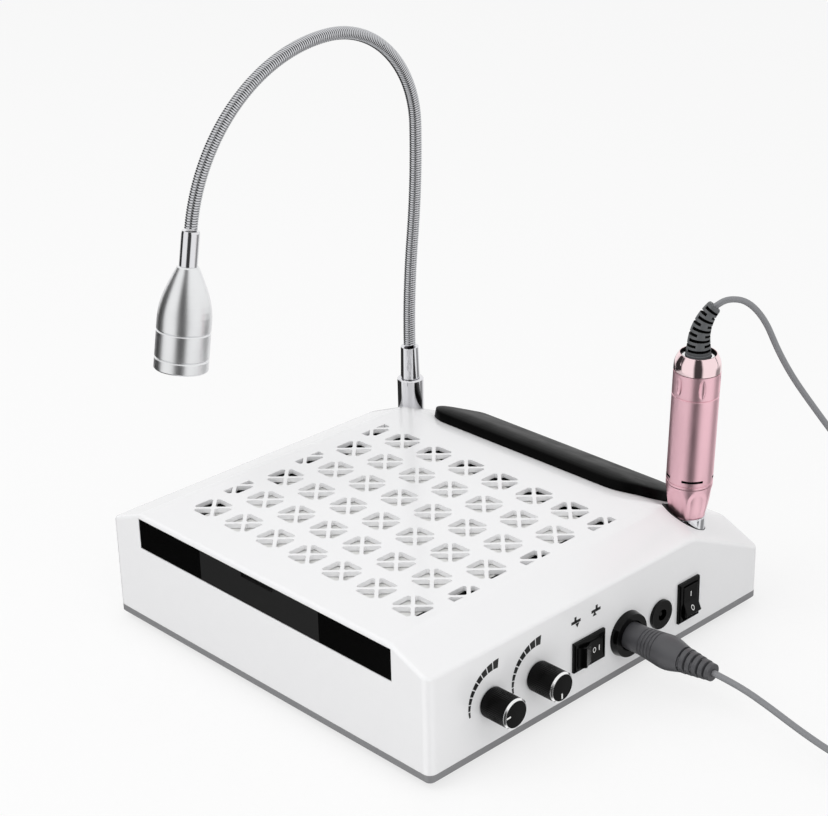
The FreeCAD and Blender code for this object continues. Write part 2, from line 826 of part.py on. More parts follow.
def lampCollar():
    outer = rod(7.0, V(lampX, lampY, 55), Z, collarTop - 55)
    top = [e for e in outer.Edges if e.BoundBox.ZMin > collarTop - 0.1]
    outer = outer.makeChamfer(0.6, top).cut(caseSolid(0, shellZ))
    shank = rod(5.0, V(lampX, lampY, 45), Z, 19)
    return fused([outer, shank]).cut(rod(3.0 + runningFit, V(lampX, lampY, 40), Z, 50))


def lampNut():
    return hexPrism(14.0, V(lampX, lampY, 45.5), Z, 4.5).cut(rod(5.0, V(lampX, lampY, 40), Z, 20))


def lampStem():
    stem = rod(3.0, V(lampX, lampY, 50), Z, collarTop - 50 + 1)
    ferrule = Part.makeCone(5.1, 4.7, neckFrom - collarTop - 0.2, V(lampX, lampY, collarTop + 0.2), Z)
    return fused([stem, ferrule])


def onHead(solid):
    """Puts a shape drawn down from the origin along -Z at the end of the gooseneck."""
    point, direction = arcPlaces(neckLength())
    angle = math.degrees(math.atan2(direction.z, direction.y)) + 90
    solid.rotate(V(0, 0, 0), X, angle)
    solid.translate(point)
    return solid


def headTurned(profile):
    return onHead(spun([(r, -h) for r, h in profile]))


def headFerruleRing():
    return headTurned([(0, 0), (4.2, 0), (4.4, 1), (4.4, headFerrule), (0, headFerrule)])


def ogive(start, end, r0, r1, steps):
    points = []
    for i in range(steps + 1):
        t = i / steps
        points.append((r0 + (r1 - r0) * math.sin(t * math.pi / 2), start + (end - start) * t))
    return points


def headShell():
    t0 = headFerrule
    outer = [(0, t0), (4.8, t0)] + ogive(t0 + 0.6, t0 + 26, 5.4, headR, 9)
    outer += [(headR, t0 + 30.6), (headR - 0.5, t0 + 31.2)]
    inner = [(11.4, t0 + 31.2), (11.4, t0 + 22), (8.0, t0 + 14), (0, t0 + 14)]
    return headTurned(outer + inner)


def headSleeve():
    t0 = headFerrule
    return headTurned([(11.4, t0 + 31.2), (headR - 0.5, t0 + 31.2), (headR, t0 + 31.8), (headR, t0 + 43.8),
                       (headR - 0.6, t0 + 44.4), (11.4, t0 + 44.4)])


def headBezel():
    t0 = headFerrule
    return headTurned([(11.4, t0 + 44.4), (headR - 0.6, t0 + 44.4), (headR, t0 + 45.2),
                       (headR, t0 + headLong - 0.6), (headR - 0.6, t0 + headLong), (10.6, t0 + headLong),
                       (10.6, t0 + 48.8), (11.4, t0 + 48.8)])


def lampLens():
    t0 = headFerrule
    return headTurned([(0, t0 + 46.6), (11.3, t0 + 46.6), (11.3, t0 + 48.8), (0, t0 + 48.8)])


def lampReflector():
    t0 = headFerrule
    return headTurned([(3.0, t0 + 38.6), (4.0, t0 + 38.6), (11.3, t0 + 46.4), (10.3, t0 + 46.4)])


def ledBoard():
    t0 = headFerrule
    return headTurned([(0, t0 + 34), (11.3, t0 + 34), (11.3, t0 + 37), (2.0, t0 + 37), (2.0, t0 + 38.4),
                       (0, t0 + 38.4)])


# Hand rest

def padBlock(shrink, low, high):
    block = box(-71 + shrink, 76 - shrink, 61 + shrink, 105 - shrink, 20, 90)
    left_ = [e for e in block.Edges if e.BoundBox.ZLength > 50 and e.BoundBox.XMax < 0]
    block = block.makeFillet(11.0 - shrink, left_)
    right_ = [e for e in block.Edges if e.BoundBox.ZLength > 50 and e.BoundBox.XMin > 70]
    block = block.makeFillet(21.0 - shrink, right_)
    return block.common(aboveRoof(-low)).cut(aboveRoof(-high))


def saveAll():
    os.makedirs("parts", exist_ok=True)
    save("base_plate", basePlate())
    save("top_shell", topShell())
    save("rubber_feet", feet())
    save("base_screws", baseScrews())
    save("pad_plate", padBlock(1.5, 0.0, 1.4))
    save("hand_rest_pad", padBlock(0.0, 1.4, 6.4))
    save("drawer_front", drawerFront())
    save("filter_frame", filterFrame())
    save("filter_media", filterMedia())
    save("drawer_rails", drawerRails())
    save("fan_frame", fanFrame())
    save("fan_stator", fanStator())
    save("fan_rotor", fanRotor())
    save("fan_screws", fanScrews())
    save("control_board", controlBoard())
    save("board_parts", boardParts())
    save("board_screws", boardScrews())
    for name, place in knobPlaces.items():
        save(name + "_pot", potBody(place))
        save(name + "_pot_shaft", potShaft(place))
        save(name + "_knob", knob(place))
    save("panel_nuts", panelNuts())
    save("direction_switch", placedSwitch(rockerHousing(), directionPlace, False))
    save("direction_rocker", placedSwitch(rocker(), directionPlace, False))
    save("lamp_switch", placedSwitch(rockerHousing(), lampSwitchPlace, True))
    save("lamp_rocker", placedSwitch(rocker(), lampSwitchPlace, True))
    save("motor_socket", motorSocket())
    save("power_jack", powerJack())
    save("plug_body", plugBody())
    save("plug_barrel", plugBarrel())
    save("plug_relief", plugRelief())
    save("nose_sleeve", noseSleeve())
    save("tip_housing", tipHousing())
    save("spindle", spindle())
    save("handpiece_barrel", barrel())
    save("grip_ring", gripRing())
    save("rear_cap", rearCap())
    save("cap_ring", capRing())
    save("handpiece_motor", motorCan())
    save("handpiece_relief", handpieceRelief())
    save("cord_handpiece_run", handpieceCord())
    save("cord_plug_run", plugCord())
    save("cord_coil", cordCoil())
    save("lamp_collar", lampCollar())
    save("lamp_nut", lampNut())
    save("lamp_stem", lampStem())
    for i, link in enumerate(neckLinks()):
        save("neck_link_" + str(i + 1), link)
    save("head_ferrule", headFerruleRing())
    save("head_shell", headShell())
    save("head_sleeve", headSleeve())
    save("head_bezel", headBezel())
    save("lamp_lens", lampLens())
    save("lamp_reflector", lampReflector())
    save("led_board", ledBoard())


saveAll()
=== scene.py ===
import json
import math

import bmesh
import bpy
from mathutils import Matrix, Vector, noise


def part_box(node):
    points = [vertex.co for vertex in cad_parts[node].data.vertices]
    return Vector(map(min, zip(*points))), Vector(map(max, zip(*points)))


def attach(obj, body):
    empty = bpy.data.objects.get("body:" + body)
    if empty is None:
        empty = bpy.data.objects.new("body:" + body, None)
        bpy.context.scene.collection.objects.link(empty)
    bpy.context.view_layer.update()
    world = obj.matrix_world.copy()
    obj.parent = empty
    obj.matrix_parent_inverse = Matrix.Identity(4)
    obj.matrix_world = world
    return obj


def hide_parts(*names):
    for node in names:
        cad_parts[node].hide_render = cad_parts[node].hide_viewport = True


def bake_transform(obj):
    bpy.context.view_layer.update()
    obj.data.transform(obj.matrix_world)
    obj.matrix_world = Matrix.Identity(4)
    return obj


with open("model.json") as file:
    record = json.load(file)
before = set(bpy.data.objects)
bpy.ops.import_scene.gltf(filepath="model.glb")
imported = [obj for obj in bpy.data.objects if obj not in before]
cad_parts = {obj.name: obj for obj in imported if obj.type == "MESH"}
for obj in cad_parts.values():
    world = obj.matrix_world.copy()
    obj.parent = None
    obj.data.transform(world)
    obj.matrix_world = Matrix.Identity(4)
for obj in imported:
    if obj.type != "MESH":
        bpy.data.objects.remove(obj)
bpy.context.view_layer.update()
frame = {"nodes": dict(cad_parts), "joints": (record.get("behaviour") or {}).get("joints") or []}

# Nail dust collector with a gooseneck lamp and a drill handpiece. Lengths in the settings are
# millimetres about the middle of the case with the feet on zero; inFrame() puts them in place.

mm = 0.001
caseLow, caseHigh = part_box("top_shell")
caseMidX = (caseLow.x + caseHigh.x) / 2
panelX = 110.0


def inFrame(x, y, z):
    return Vector((x * mm + caseMidX, y * mm, z * mm))


def newObject(name, data):
    thing = bpy.data.objects.new(name, data)
    bpy.context.scene.collection.objects.link(thing)
    return thing


# Camera

camera = {"place": (0.61221, -0.60220, 0.49196), "azimuth": 136.465, "down": 23.876,
          "roll": -1.4406, "lens": 86.23}

az, el = math.radians(camera["azimuth"]), math.radians(camera["down"])
aim = Vector((math.cos(el) * math.cos(az), math.cos(el) * math.sin(az), -math.sin(el)))
cameraData = bpy.data.cameras.new("camera")
cameraData.lens = camera["lens"]
cameraData.sensor_width = 36
cameraObject = newObject("camera", cameraData)
cameraObject.location = camera["place"]
cameraObject.rotation_mode = "QUATERNION"
turn = Matrix.Rotation(math.radians(camera["roll"]), 3, "Z").to_quaternion()
cameraObject.rotation_quaternion = aim.to_track_quat("-Z", "Y") @ turn
bpy.context.scene.camera = cameraObject
bpy.context.scene.view_settings.view_transform = "Standard"


# Materials

def linear(hexColour):
    parts = [int(hexColour[i:i + 2], 16) / 255 for i in (0, 2, 4)]
    return [p / 12.92 if p <= 0.04045 else ((p + 0.055) / 1.055) ** 2.4 for p in parts] + [1.0]


def addNode(tree, kind, inputs=None, **settings):
    node = tree.nodes.new(kind)
    for name, value in settings.items():
        setattr(node, name, value)
    for name, value in (inputs or {}).items():
        if isinstance(value, bpy.types.NodeSocket):
            tree.links.new(value, node.inputs[name])
        else:
            node.inputs[name].default_value = value
    return node


def mathNode(tree, operation, *values):
    return addNode(tree, "ShaderNodeMath", dict(enumerate(values)), operation=operation).outputs[0]


def startMaterial(name):
    material = bpy.data.materials.new(name)
    material.use_nodes = True
    material.node_tree.nodes.clear()
    return material, material.node_tree


def finished(material, shader):
    addNode(material.node_tree, "ShaderNodeOutputMaterial", {"Surface": shader.outputs[0]})
    return material


chuckJoint = next(j for j in frame["joints"] if j["name"] == "chuck_spin")
leanAxis = Vector(chuckJoint["axis"]).normalized()
headTilt = math.radians(10)
headAxis = Vector((0, math.sin(headTilt), math.cos(headTilt)))

# Each finish: colour, roughness and how far it spreads, grain size and depth in millimetres,
# how far the colour wanders, and the width of the edge that catches the light, where it has one.
finishes = {
    "glossWhiteAbs": {"colour": "F2F2F3", "roughness": 0.17, "spread": 0.04, "grain": 5.0, "depth": 0.003,
                      "wander": 0.012, "edge": 0.45, "ior": 1.53},  # polished mould, clear gloss
    "satinGreyAbs": {"colour": "868688", "roughness": 0.45, "spread": 0.1, "grain": 0.6, "depth": 0.012,
                     "wander": 0.05, "edge": 0.4, "ior": 1.53},  # spark-eroded mould, fine even grain
    "glossBlackAbs": {"colour": "050505", "roughness": 0.14, "spread": 0.05, "grain": 3.0, "depth": 0.002,
                      "wander": 0.1, "edge": 0.35, "ior": 1.3},  # small sharp lights on deep black
    "satinBlackAbs": {"colour": "0A0A0B", "roughness": 0.36, "spread": 0.12, "grain": 0.6, "depth": 0.008,
                      "wander": 0.12, "edge": 0.3, "ior": 1.3},  # soft sheen, no sharp lights
    "rockerBlack": {"colour": "040404", "roughness": 0.2, "spread": 0.08, "grain": 0.8, "depth": 0.003,
                    "wander": 0.1, "edge": 0.5, "ior": 1.24},  # deep black, with a line of light on its edges
    "phenolicBlack": {"colour": "030303", "roughness": 0.2, "spread": 0.08, "grain": 0.5, "depth": 0.003,
                      "wander": 0.15, "edge": 0.2, "ior": 1.2},  # deepest black, so that the rim stands out
    "padUrethane": {"colour": "040404", "roughness": 0.42, "spread": 0.1, "grain": 0.9, "depth": 0.012,
                    "wander": 0.1, "ior": 1.13},  # soft skin with a very fine pore
    "footRubber": {"colour": "0C0C0C", "roughness": 0.75, "spread": 0.1, "grain": 0.8, "depth": 0.03,
                   "wander": 0.15, "edge": 0.4, "ior": 1.5},  # dull and dusty
    "satinWhiteAbs": {"colour": "E6E6E5", "roughness": 0.42, "spread": 0.08, "grain": 0.7, "depth": 0.008,
                      "wander": 0.03, "edge": 0.3, "ior": 1.53},  # plain moulding with hardly any shine
    "plugPvc": {"colour": "4A4A4D", "roughness": 0.42, "spread": 0.1, "grain": 0.5, "depth": 0.008,
                "wander": 0.08, "edge": 0.3, "ior": 1.53},  # dark, broad soft lights
    "cordPvc": {"colour": "838487", "roughness": 0.36, "spread": 0.08, "grain": 0.8, "depth": 0.008,
                "wander": 0.05, "ior": 1.53},  # soft extruded skin
    "bootPvc": {"colour": "585A5C", "roughness": 0.48, "spread": 0.1, "grain": 0.4, "depth": 0.012,
                "wander": 0.08, "edge": 0.2, "ior": 1.53},  # matt, darker than its cord
    "paintedShadeBlack": {"colour": "060606", "roughness": 0.9, "spread": 0.05, "grain": 0.7, "depth": 0.1,
                 "wander": 0.2, "ior": 1.2},  # near black that takes nearly all light: painted shade in slots, slits and past the filter's edge, and a painted dark reflection at the cap's rim
    "fleece": {"colour": "E4E4E2", "roughness": 0.95, "spread": 0.04, "grain": 0.4, "depth": 0.12,
               "wander": 0.1, "ior": 1.45},  # spun fibre: no gloss, a soft nap
    "solderMask": {"colour": "0F5A34", "roughness": 0.3, "spread": 0.1, "grain": 1.0, "depth": 0.006,
                   "wander": 0.2, "edge": 0.1, "ior": 1.5},  # green lacquer over copper
    "componentCase": {"colour": "26262A", "roughness": 0.5, "spread": 0.1, "grain": 0.5, "depth": 0.01,
                      "wander": 0.3, "edge": 0.2, "ior": 1.5},  # charcoal, a little uneven
    "phosphor": {"colour": "F1E9B8", "roughness": 0.5, "spread": 0.05, "grain": 0.5, "depth": 0.005,
                 "wander": 0.08, "ior": 1.5},  # pale yellow, as an unlit lamp shows
    "screenInkBlack": {"colour": "0B0B0B", "roughness": 0.5, "spread": 0.1, "grain": 0.3, "depth": 0.002,
                       "wander": 0.1, "ior": 1.5},  # thin flat ink
    "padInkWhite": {"colour": "F0F0EE", "roughness": 0.5, "spread": 0.1, "grain": 0.3, "depth": 0.002,
                    "wander": 0.03, "ior": 1.5},  # thin flat ink, slightly warm
    "zincSteel": {"colour": "BFBFC2", "roughness": 0.32, "spread": 0.1, "grain": 0.5, "depth": 0.004,
                  "wander": 0.1, "edge": 0.2, "metallic": 1.0},  # greyish plating
    "nickelPlate": {"colour": "E2E2E5", "roughness": 0.08, "spread": 0.03, "grain": 2.0, "depth": 0.001,
                    "wander": 0.02, "edge": 0.3, "metallic": 1.0},  # mirror: shows the room as crisp bands
    "diamondCutAlloy": {"colour": "F2F2F2", "roughness": 0.14, "spread": 0.05, "grain": 0.4, "depth": 0.002,
                        "wander": 0.02, "edge": 0.1, "metallic": 1.0},  # a bright cut line
    "satinAluminium": {"colour": "EBECED", "roughness": 0.32, "spread": 0.06, "grain": 0.5, "depth": 0.002,
                       "wander": 0.03, "edge": 0.25, "metallic": 1.0, "tool": headAxis,
                       "toolPitch": 0.5, "toolDepth": 0.006},  # lathe lines under matt anodising
    "roseAnodised": {"colour": "F5C8D2", "roughness": 0.37, "spread": 0.05, "grain": 0.4, "depth": 0.002,
                     "wander": 0.03, "edge": 0.25, "metallic": 1.0, "tool": leanAxis,
                     "toolPitch": 0.6, "toolDepth": 0.002},  # blasted, then dyed
    "rosePolished": {"colour": "F7DDE0", "roughness": 0.1, "spread": 0.03, "grain": 0.5, "depth": 0.001,
                     "wander": 0.02, "edge": 0.25, "metallic": 1.0, "tool": leanAxis,
                     "toolPitch": 0.5, "toolDepth": 0.001},  # polished under the dye
}


def finishMaterial(name, look):
    material, tree = startMaterial(name)
    place = addNode(tree, "ShaderNodeTexCoord").outputs["Object"]
    patches = addNode(tree, "ShaderNodeTexNoise", {"Vector": place, "Scale": 90.0, "Detail": 4.0})
    grain = addNode(tree, "ShaderNodeTexNoise", {"Vector": place, "Scale": 1000 / look["grain"],
                                                 "Detail": 2.0})
    rough = addNode(tree, "ShaderNodeMapRange", {
        "Value": patches.outputs[0], "From Min": 0.3, "From Max": 0.7,
        "To Min": look["roughness"] - look["spread"] / 2, "To Max": look["roughness"] + look["spread"] / 2})
    colour = linear(look["colour"])
    deep = [c * (1 - look["wander"]) for c in colour[:3]] + [1.0]
    shade = addNode(tree, "ShaderNodeMix", {0: patches.outputs[0], 6: colour, 7: deep}, data_type="RGBA")
    bumpInputs = {"Height": grain.outputs[0], "Distance": look["depth"] * mm}
    if "edge" in look:
        edge = addNode(tree, "ShaderNodeBevel", {"Radius": look["edge"] * mm}, samples=4)
        bumpInputs["Normal"] = edge.outputs[0]
    bump = addNode(tree, "ShaderNodeBump", bumpInputs)
    if "tool" in look:
        along = addNode(tree, "ShaderNodeVectorMath", {0: place, 1: look["tool"]}, operation="DOT_PRODUCT")
        lines = addNode(tree, "ShaderNodeTexNoise", {"W": along.outputs["Value"],
                                                     "Scale": 1000 / look["toolPitch"], "Detail": 2.0},
                        noise_dimensions="1D")
        bump = addNode(tree, "ShaderNodeBump", {"Height": lines.outputs[0], "Normal": bump.outputs[0],
                                                "Distance": look["toolDepth"] * mm})
    inputs = {"Base Color": shade.outputs[2], "Roughness": rough.outputs[0], "Normal": bump.outputs[0],
              "Metallic": look.get("metallic", 0.0)}
    if "ior" in look:
        inputs["IOR"] = look["ior"]
    shader = addNode(tree, "ShaderNodeBsdfPrincipled", inputs)
    return finished(material, shader)


def clearAcrylic():
    # moulded lens: clear, faintly frosted by its diffusing face
    material, tree = startMaterial("clearAcrylic")
    place = addNode(tree, "ShaderNodeTexCoord").outputs["Object"]
    facets = addNode(tree, "ShaderNodeTexVoronoi", {"Vector": place, "Scale": 1000 / 1.2})
    bump = addNode(tree, "ShaderNodeBump", {"Height": facets.outputs["Distance"], "Distance": 0.03 * mm})
    haze = addNode(tree, "ShaderNodeMapRange", {"Value": facets.outputs["Distance"],
                                                "To Min": 0.08, "To Max": 0.2})
    shader = addNode(tree, "ShaderNodeBsdfPrincipled", {
        "Base Color": linear("F8F8FA"), "Roughness": haze.outputs[0], "IOR": 1.49,
        "Transmission Weight": 1.0, "Normal": bump.outputs[0]})
    return finished(material, shader)


def hoseChrome():
    # wound strip, chromed: bright crowns, and grooves darkened towards black as painted shade
    material, tree = startMaterial("hoseChrome")
    place = addNode(tree, "ShaderNodeTexCoord").outputs["Object"]
    paintedGrooveShade = addNode(tree, "ShaderNodeAttribute", attribute_name="paintedGrooveShade").outputs["Fac"]
    smears = addNode(tree, "ShaderNodeTexNoise", {"Vector": place, "Scale": 260.0, "Detail": 3.0})
    rough = addNode(tree, "ShaderNodeMapRange", {"Value": smears.outputs[0], "To Min": 0.1, "To Max": 0.24})
    # painted shade: the grooves go from the chrome's colour to near black
    shade = addNode(tree, "ShaderNodeMix", {0: paintedGrooveShade, 6: linear("DADBDE"), 7: linear("3A3A3D")},
                    data_type="RGBA")
    shader = addNode(tree, "ShaderNodeBsdfPrincipled", {
        "Base Color": shade.outputs[2], "Roughness": rough.outputs[0], "Metallic": 1.0})
    return finished(material, shader)


drawer = {"middle": 0.3, "satinHalf": 41.3}


def drawerBlack():
    # glossy black moulding whose middle is textured satin between two polished ends
    material, tree = startMaterial("drawerBlack")
    place = addNode(tree, "ShaderNodeTexCoord").outputs["Object"]
    across = addNode(tree, "ShaderNodeSeparateXYZ", {"Vector": place}).outputs["X"]
    middle = mathNode(tree, "COMPARE", across, inFrame(drawer["middle"], 0, 0).x, drawer["satinHalf"] * mm)
    grain = addNode(tree, "ShaderNodeTexNoise", {"Vector": place, "Scale": 1000 / 0.6, "Detail": 2.0})
    sunk = mathNode(tree, "MULTIPLY", grain.outputs[0], middle)
    bump = addNode(tree, "ShaderNodeBump", {"Height": sunk, "Distance": 0.012 * mm})
    shade = addNode(tree, "ShaderNodeMix", {0: middle, 6: linear("040404"), 7: linear("1A1A1A")},
                    data_type="RGBA")
    rough = addNode(tree, "ShaderNodeMapRange", {"Value": middle, "To Min": 0.12, "To Max": 0.42})
    shader = addNode(tree, "ShaderNodeBsdfPrincipled", {
        "Base Color": shade.outputs[2], "Roughness": rough.outputs[0], "IOR": 1.3, "Normal": bump.outputs[0]})
    return finished(material, shader)


made = {name: finishMaterial(name, look) for name, look in finishes.items()}
made["clearAcrylic"] = clearAcrylic()
made["hoseChrome"] = hoseChrome()
made["drawerBlack"] = drawerBlack()
print("materials", len(made))

dressed = {
    "glossWhiteAbs": ["top_shell"],
    "satinGreyAbs": ["base_plate"],
    "footRubber": ["rubber_feet"],
    "zincSteel": ["base_screws", "fan_screws", "board_screws", "fan_pot", "motor_pot", "fan_pot_shaft",
                  "motor_pot_shaft", "panel_nuts", "lamp_nut", "fan_stator", "handpiece_motor",
                  "plug_barrel"],
    "satinWhiteAbs": ["filter_frame", "pad_plate"],
    "drawerBlack": ["drawer_front"],
    "glossBlackAbs": ["power_jack", "motor_socket"],
    "satinBlackAbs": ["drawer_rails", "fan_frame", "fan_rotor"],
    "solderMask": ["control_board"],
    "componentCase": ["board_parts"],
    "rockerBlack": ["direction_switch", "direction_rocker", "lamp_switch", "lamp_rocker"],
    "nickelPlate": ["lamp_collar", "lamp_stem", "spindle", "tip_housing", "head_ferrule"],
    "satinAluminium": ["head_shell", "head_sleeve", "head_bezel"],
    "diamondCutAlloy": ["lamp_reflector", "cap_ring"],
    "phosphor": ["led_board"],
    "clearAcrylic": ["lamp_lens"],
}
for finish, nodes in dressed.items():
    for node in nodes:
        for slot in frame["nodes"][node].material_slots:
            slot.material = made[finish]


# Making pieces

def meshFrom(name, bm):
    mesh = bpy.data.meshes.new(name)
    bm.to_mesh(mesh)
    bm.free()
    return mesh


def newPiece(name, bm, finish, body, replaced=(), sharp=35.0):
    return addPiece(name, meshFrom(name, bm), finish, body, replaced, sharp)


def addPiece(name, mesh, finish, body, replaced=(), sharp=35.0):
    if mesh.materials:
        mesh.materials.clear()
    mesh.materials.append(made[finish])
    for polygon in mesh.polygons:
        polygon.use_smooth = True
    mesh.set_sharp_from_angle(angle=math.radians(sharp))
    piece = newObject(name, mesh)
    if body:
        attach(piece, body)
    if replaced:
        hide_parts(*replaced)
    return piece


def turned(profile, steps):
    # (radius, height) corners in millimetres, turned about Z
    bm = bmesh.new()
    verts = [bm.verts.new((r * mm, 0, z * mm)) for r, z in profile]
    edges = [bm.edges.new(pair) for pair in zip(verts, verts[1:] + verts[:1])]
    bmesh.ops.spin(bm, geom=verts + edges, cent=(0, 0, 0), axis=(0, 0, 1), angle=math.tau, steps=steps,
                   use_merge=True)
    bmesh.ops.remove_doubles(bm, verts=bm.verts, dist=1e-6)
    bmesh.ops.recalc_face_normals(bm, faces=bm.faces)
    return bm


def block(x, y, z):
    bm = bmesh.new()
    bmesh.ops.create_cube(bm, size=1.0)
    bmesh.ops.scale(bm, vec=(x * mm, y * mm, z * mm), verts=bm.verts)
    return bm


def thicken(bm, height):
    # makes flat faces solid, upwards
    grown = bmesh.ops.extrude_face_region(bm, geom=list(bm.faces))
    lifted = [v for v in grown["geom"] if isinstance(v, bmesh.types.BMVert)]
    bmesh.ops.translate(bm, vec=(0, 0, height), verts=lifted)
    bmesh.ops.recalc_face_normals(bm, faces=bm.faces)


def soften(bm, width, segments, angle=28.0):
    edges = [e for e in bm.edges if len(e.link_faces) == 2 and e.calc_face_angle(0) > math.radians(angle)]
    bmesh.ops.bevel(bm, geom=edges, offset=width * mm, segments=segments, affect="EDGES", profile=0.5,
                    material=-1, clamp_overlap=True)


def moved(bm, matrix):
    bmesh.ops.transform(bm, matrix=matrix, verts=bm.verts)
    return bm


def aboutZ(place):
    # distance from Z in millimetres, and degrees round it
    return math.hypot(place.x, place.y) / mm, math.degrees(math.atan2(place.y, place.x))


def pressIn(vert, depth):
    # moves a point towards Z
    out = aboutZ(vert.co)[0]
    vert.co.x *= (out - depth) / out
    vert.co.y *= (out - depth) / out


def onPanel(y, z, x=0.0):
    # local Z points out of the panel, local X along +Y, local Y up
    turnOut = Matrix(((0, 0, 1), (1, 0, 0), (0, 1, 0))).to_4x4()
    return Matrix.Translation(inFrame(panelX + x, y, z)) @ turnOut


# Studio: a white room whose floor is a paper sweep

print("studio")
studio = {"sky": 0.74, "paperGlow": 0.72, "flagLow": -0.2, "flagHigh": 0.9, "flagFade": 0.13,
          "key": {"place": (-0.5, -1.3, 1.7), "size": 1.6, "power": 13.0},
          "fill": {"place": (1.5, -0.4, 1.2), "size": 1.6, "power": 5.0}}
# What reflections see: a white room with black flags, as compass direction, tone and how tall
# each stands, from 0 (well below eye level) to 1 (over it).
flags = [(-180, 0.03, 0.0), (-166, 0.03, 0.7), (-136, 0.03, 0.7), (-128, 1.0, 0.7), (-74, 1.0, 1.0),
         (-64, 0.05, 1.0), (-32, 0.05, 1.0), (-22, 1.0, 1.0), (42, 1.0, 0.0), (52, 0.3, 0.0),
         (80, 0.35, 0.0), (92, 0.95, 0.0), (130, 0.9, 0.0), (140, 0.03, 0.0), (180, 0.03, 0.0)]


def seenByEye(tree):
    rays = addNode(tree, "ShaderNodeLightPath").outputs
    first = mathNode(tree, "MAXIMUM", rays["Is Camera Ray"], rays["Is Glossy Ray"])
    return mathNode(tree, "MAXIMUM", first, rays["Is Transmission Ray"])


def whiteRoom():
    world = bpy.data.worlds.new("softbox")
    world.use_nodes = True
    tree = world.node_tree
    tree.nodes.clear()
    dim = addNode(tree, "ShaderNodeBackground", {"Color": linear("FFFFFF"), "Strength": studio["sky"]})
    place = addNode(tree, "ShaderNodeTexCoord").outputs["Generated"]
    facing = addNode(tree, "ShaderNodeSeparateXYZ", {"Vector": place}).outputs
    compass = mathNode(tree, "ARCTAN2", facing["Y"], facing["X"])
    wayRound = addNode(tree, "ShaderNodeMapRange", {"Value": compass, "From Min": -math.pi,
                                                    "From Max": math.pi})
    ramp = addNode(tree, "ShaderNodeValToRGB", {"Fac": wayRound.outputs[0]})
    stops = ramp.color_ramp.elements
    stops[0].color = (flags[0][1],) * 3 + (flags[0][2],)
    stops[1].color = (flags[-1][1],) * 3 + (flags[-1][2],)
    for degrees, tone, tall in flags[1:-1]:
        stops.new((degrees + 180) / 360).color = (tone, tone, tone, tall)
    flagTop = addNode(tree, "ShaderNodeMapRange", {
        "Value": ramp.outputs["Alpha"], "To Min": studio["flagLow"], "To Max": studio["flagHigh"]})
    under = mathNode(tree, "SUBTRACT", flagTop.outputs[0], facing["Z"])
    lowness = addNode(tree, "ShaderNodeMapRange", {"Value": under, "From Max": studio["flagFade"]})
    glossy = addNode(tree, "ShaderNodeLightPath").outputs["Is Glossy Ray"]
    inMetal = mathNode(tree, "MULTIPLY", lowness.outputs[0], glossy)
    shown = addNode(tree, "ShaderNodeMix", {0: inMetal, 6: linear("FFFFFF"), 7: ramp.outputs[0]},
                    data_type="RGBA")
    white = addNode(tree, "ShaderNodeBackground", {"Color": shown.outputs[2], "Strength": 1.0})
    seen = addNode(tree, "ShaderNodeMixShader", {0: seenByEye(tree), 1: dim.outputs[0], 2: white.outputs[0]})
    addNode(tree, "ShaderNodeOutputWorld", {"Surface": seen.outputs[0]})
    return world


def paperSweep():
    # matt paper that glows a little to the eye, so that it stays white to the edge of the view
    material, tree = startMaterial("paperSweep")
    paper = addNode(tree, "ShaderNodeBsdfDiffuse", {"Color": linear("F4F4F4")})
    glow = addNode(tree, "ShaderNodeEmission", {"Color": linear("FFFFFF"), "Strength": 1.0})
    share = mathNode(tree, "MULTIPLY", seenByEye(tree), studio["paperGlow"])
    mixed = addNode(tree, "ShaderNodeMixShader", {0: share, 1: paper.outputs[0], 2: glow.outputs[0]})
    return finished(material, mixed)


def softLight(name, place, size, power):
    data = bpy.data.lights.new(name, "AREA")
    data.energy = power
    data.shape = "DISK"
    data.size = size
    light = newObject(name, data)
    light.location = place
    light.rotation_mode = "QUATERNION"
    light.rotation_quaternion = (Vector((0, 0, 0.1)) - Vector(place)).to_track_quat("-Z", "Y")
    light.visible_glossy = False


bpy.context.scene.world = whiteRoom()
bm = bmesh.new()
bmesh.ops.create_grid(bm, x_segments=1, y_segments=1, size=4.0)
floor = newObject("floor", meshFrom("floor", bm))
floor.data.materials.append(paperSweep())
floor.visible_glossy = False
softLight("key", **studio["key"])
softLight("fill", **studio["fill"])


# Cord: out of the handpiece's boot, over the panel side to a coil, and back to its plug

cord = {"diameter": 3.0, "plug": (160.5, 13.4, 24.6),
        "coilMiddle": (197.0, 118.0), "coilRadius": 16.5, "coilHeight": 4.65, "startTurn": 5.0,
        "perTurn": 14, "shift": 0.35,
        "lays": [(-1.52, 2.64), (1.52, 2.64), (3.05, 0), (0, 0), (-3.05, 0), (-1.52, -2.64), (1.52, -2.64)],
        "fromHandpiece": [
            (104.5, 87.6, 167.2), (110.4, 94.6, 165.5), (115.8, 101.2, 155.6), (119.9, 105.8, 141.0),
            (125.4, 111.6, 126.4), (132.9, 119.7, 110.5), (141.8, 129.1, 92.5), (152.5, 139.0, 75.5),
            (164.5, 146.7, 58.5), (178.0, 151.0, 42.5), (191.0, 150.2, 28.0), (202.8, 144.4, 17.0),
            (212.0, 135.6, 10.2)],
        "fromPlug": [
            (174.0, 13.7, 23.8), (190.0, 14.2, 19.9), (206.0, 13.8, 15.8), (222.0, 14.4, 11.8),
            (236.0, 18.3, 7.2), (246.6, 28.0, 3.4), (250.8, 42.0, 1.7), (248.4, 57.0, 1.6),
            (241.0, 70.8, 1.6), (232.4, 84.0, 1.6), (223.8, 96.6, 1.6), (217.8, 108.0, 1.6)]}

boot = {"from": 139.3, "straight": 7.0, "bendR": 26.5, "turn": 42.0, "toward": (0.688, 0.725, 0.0)}
axisHeight = 62.3  # of the chuck's joint in the handpiece's own heights


def onLean(height):
    # a point on the handpiece's axis at a height that it has in its well
    return Vector(chuckJoint["pos_m"]) + leanAxis * ((height - axisHeight) * mm)


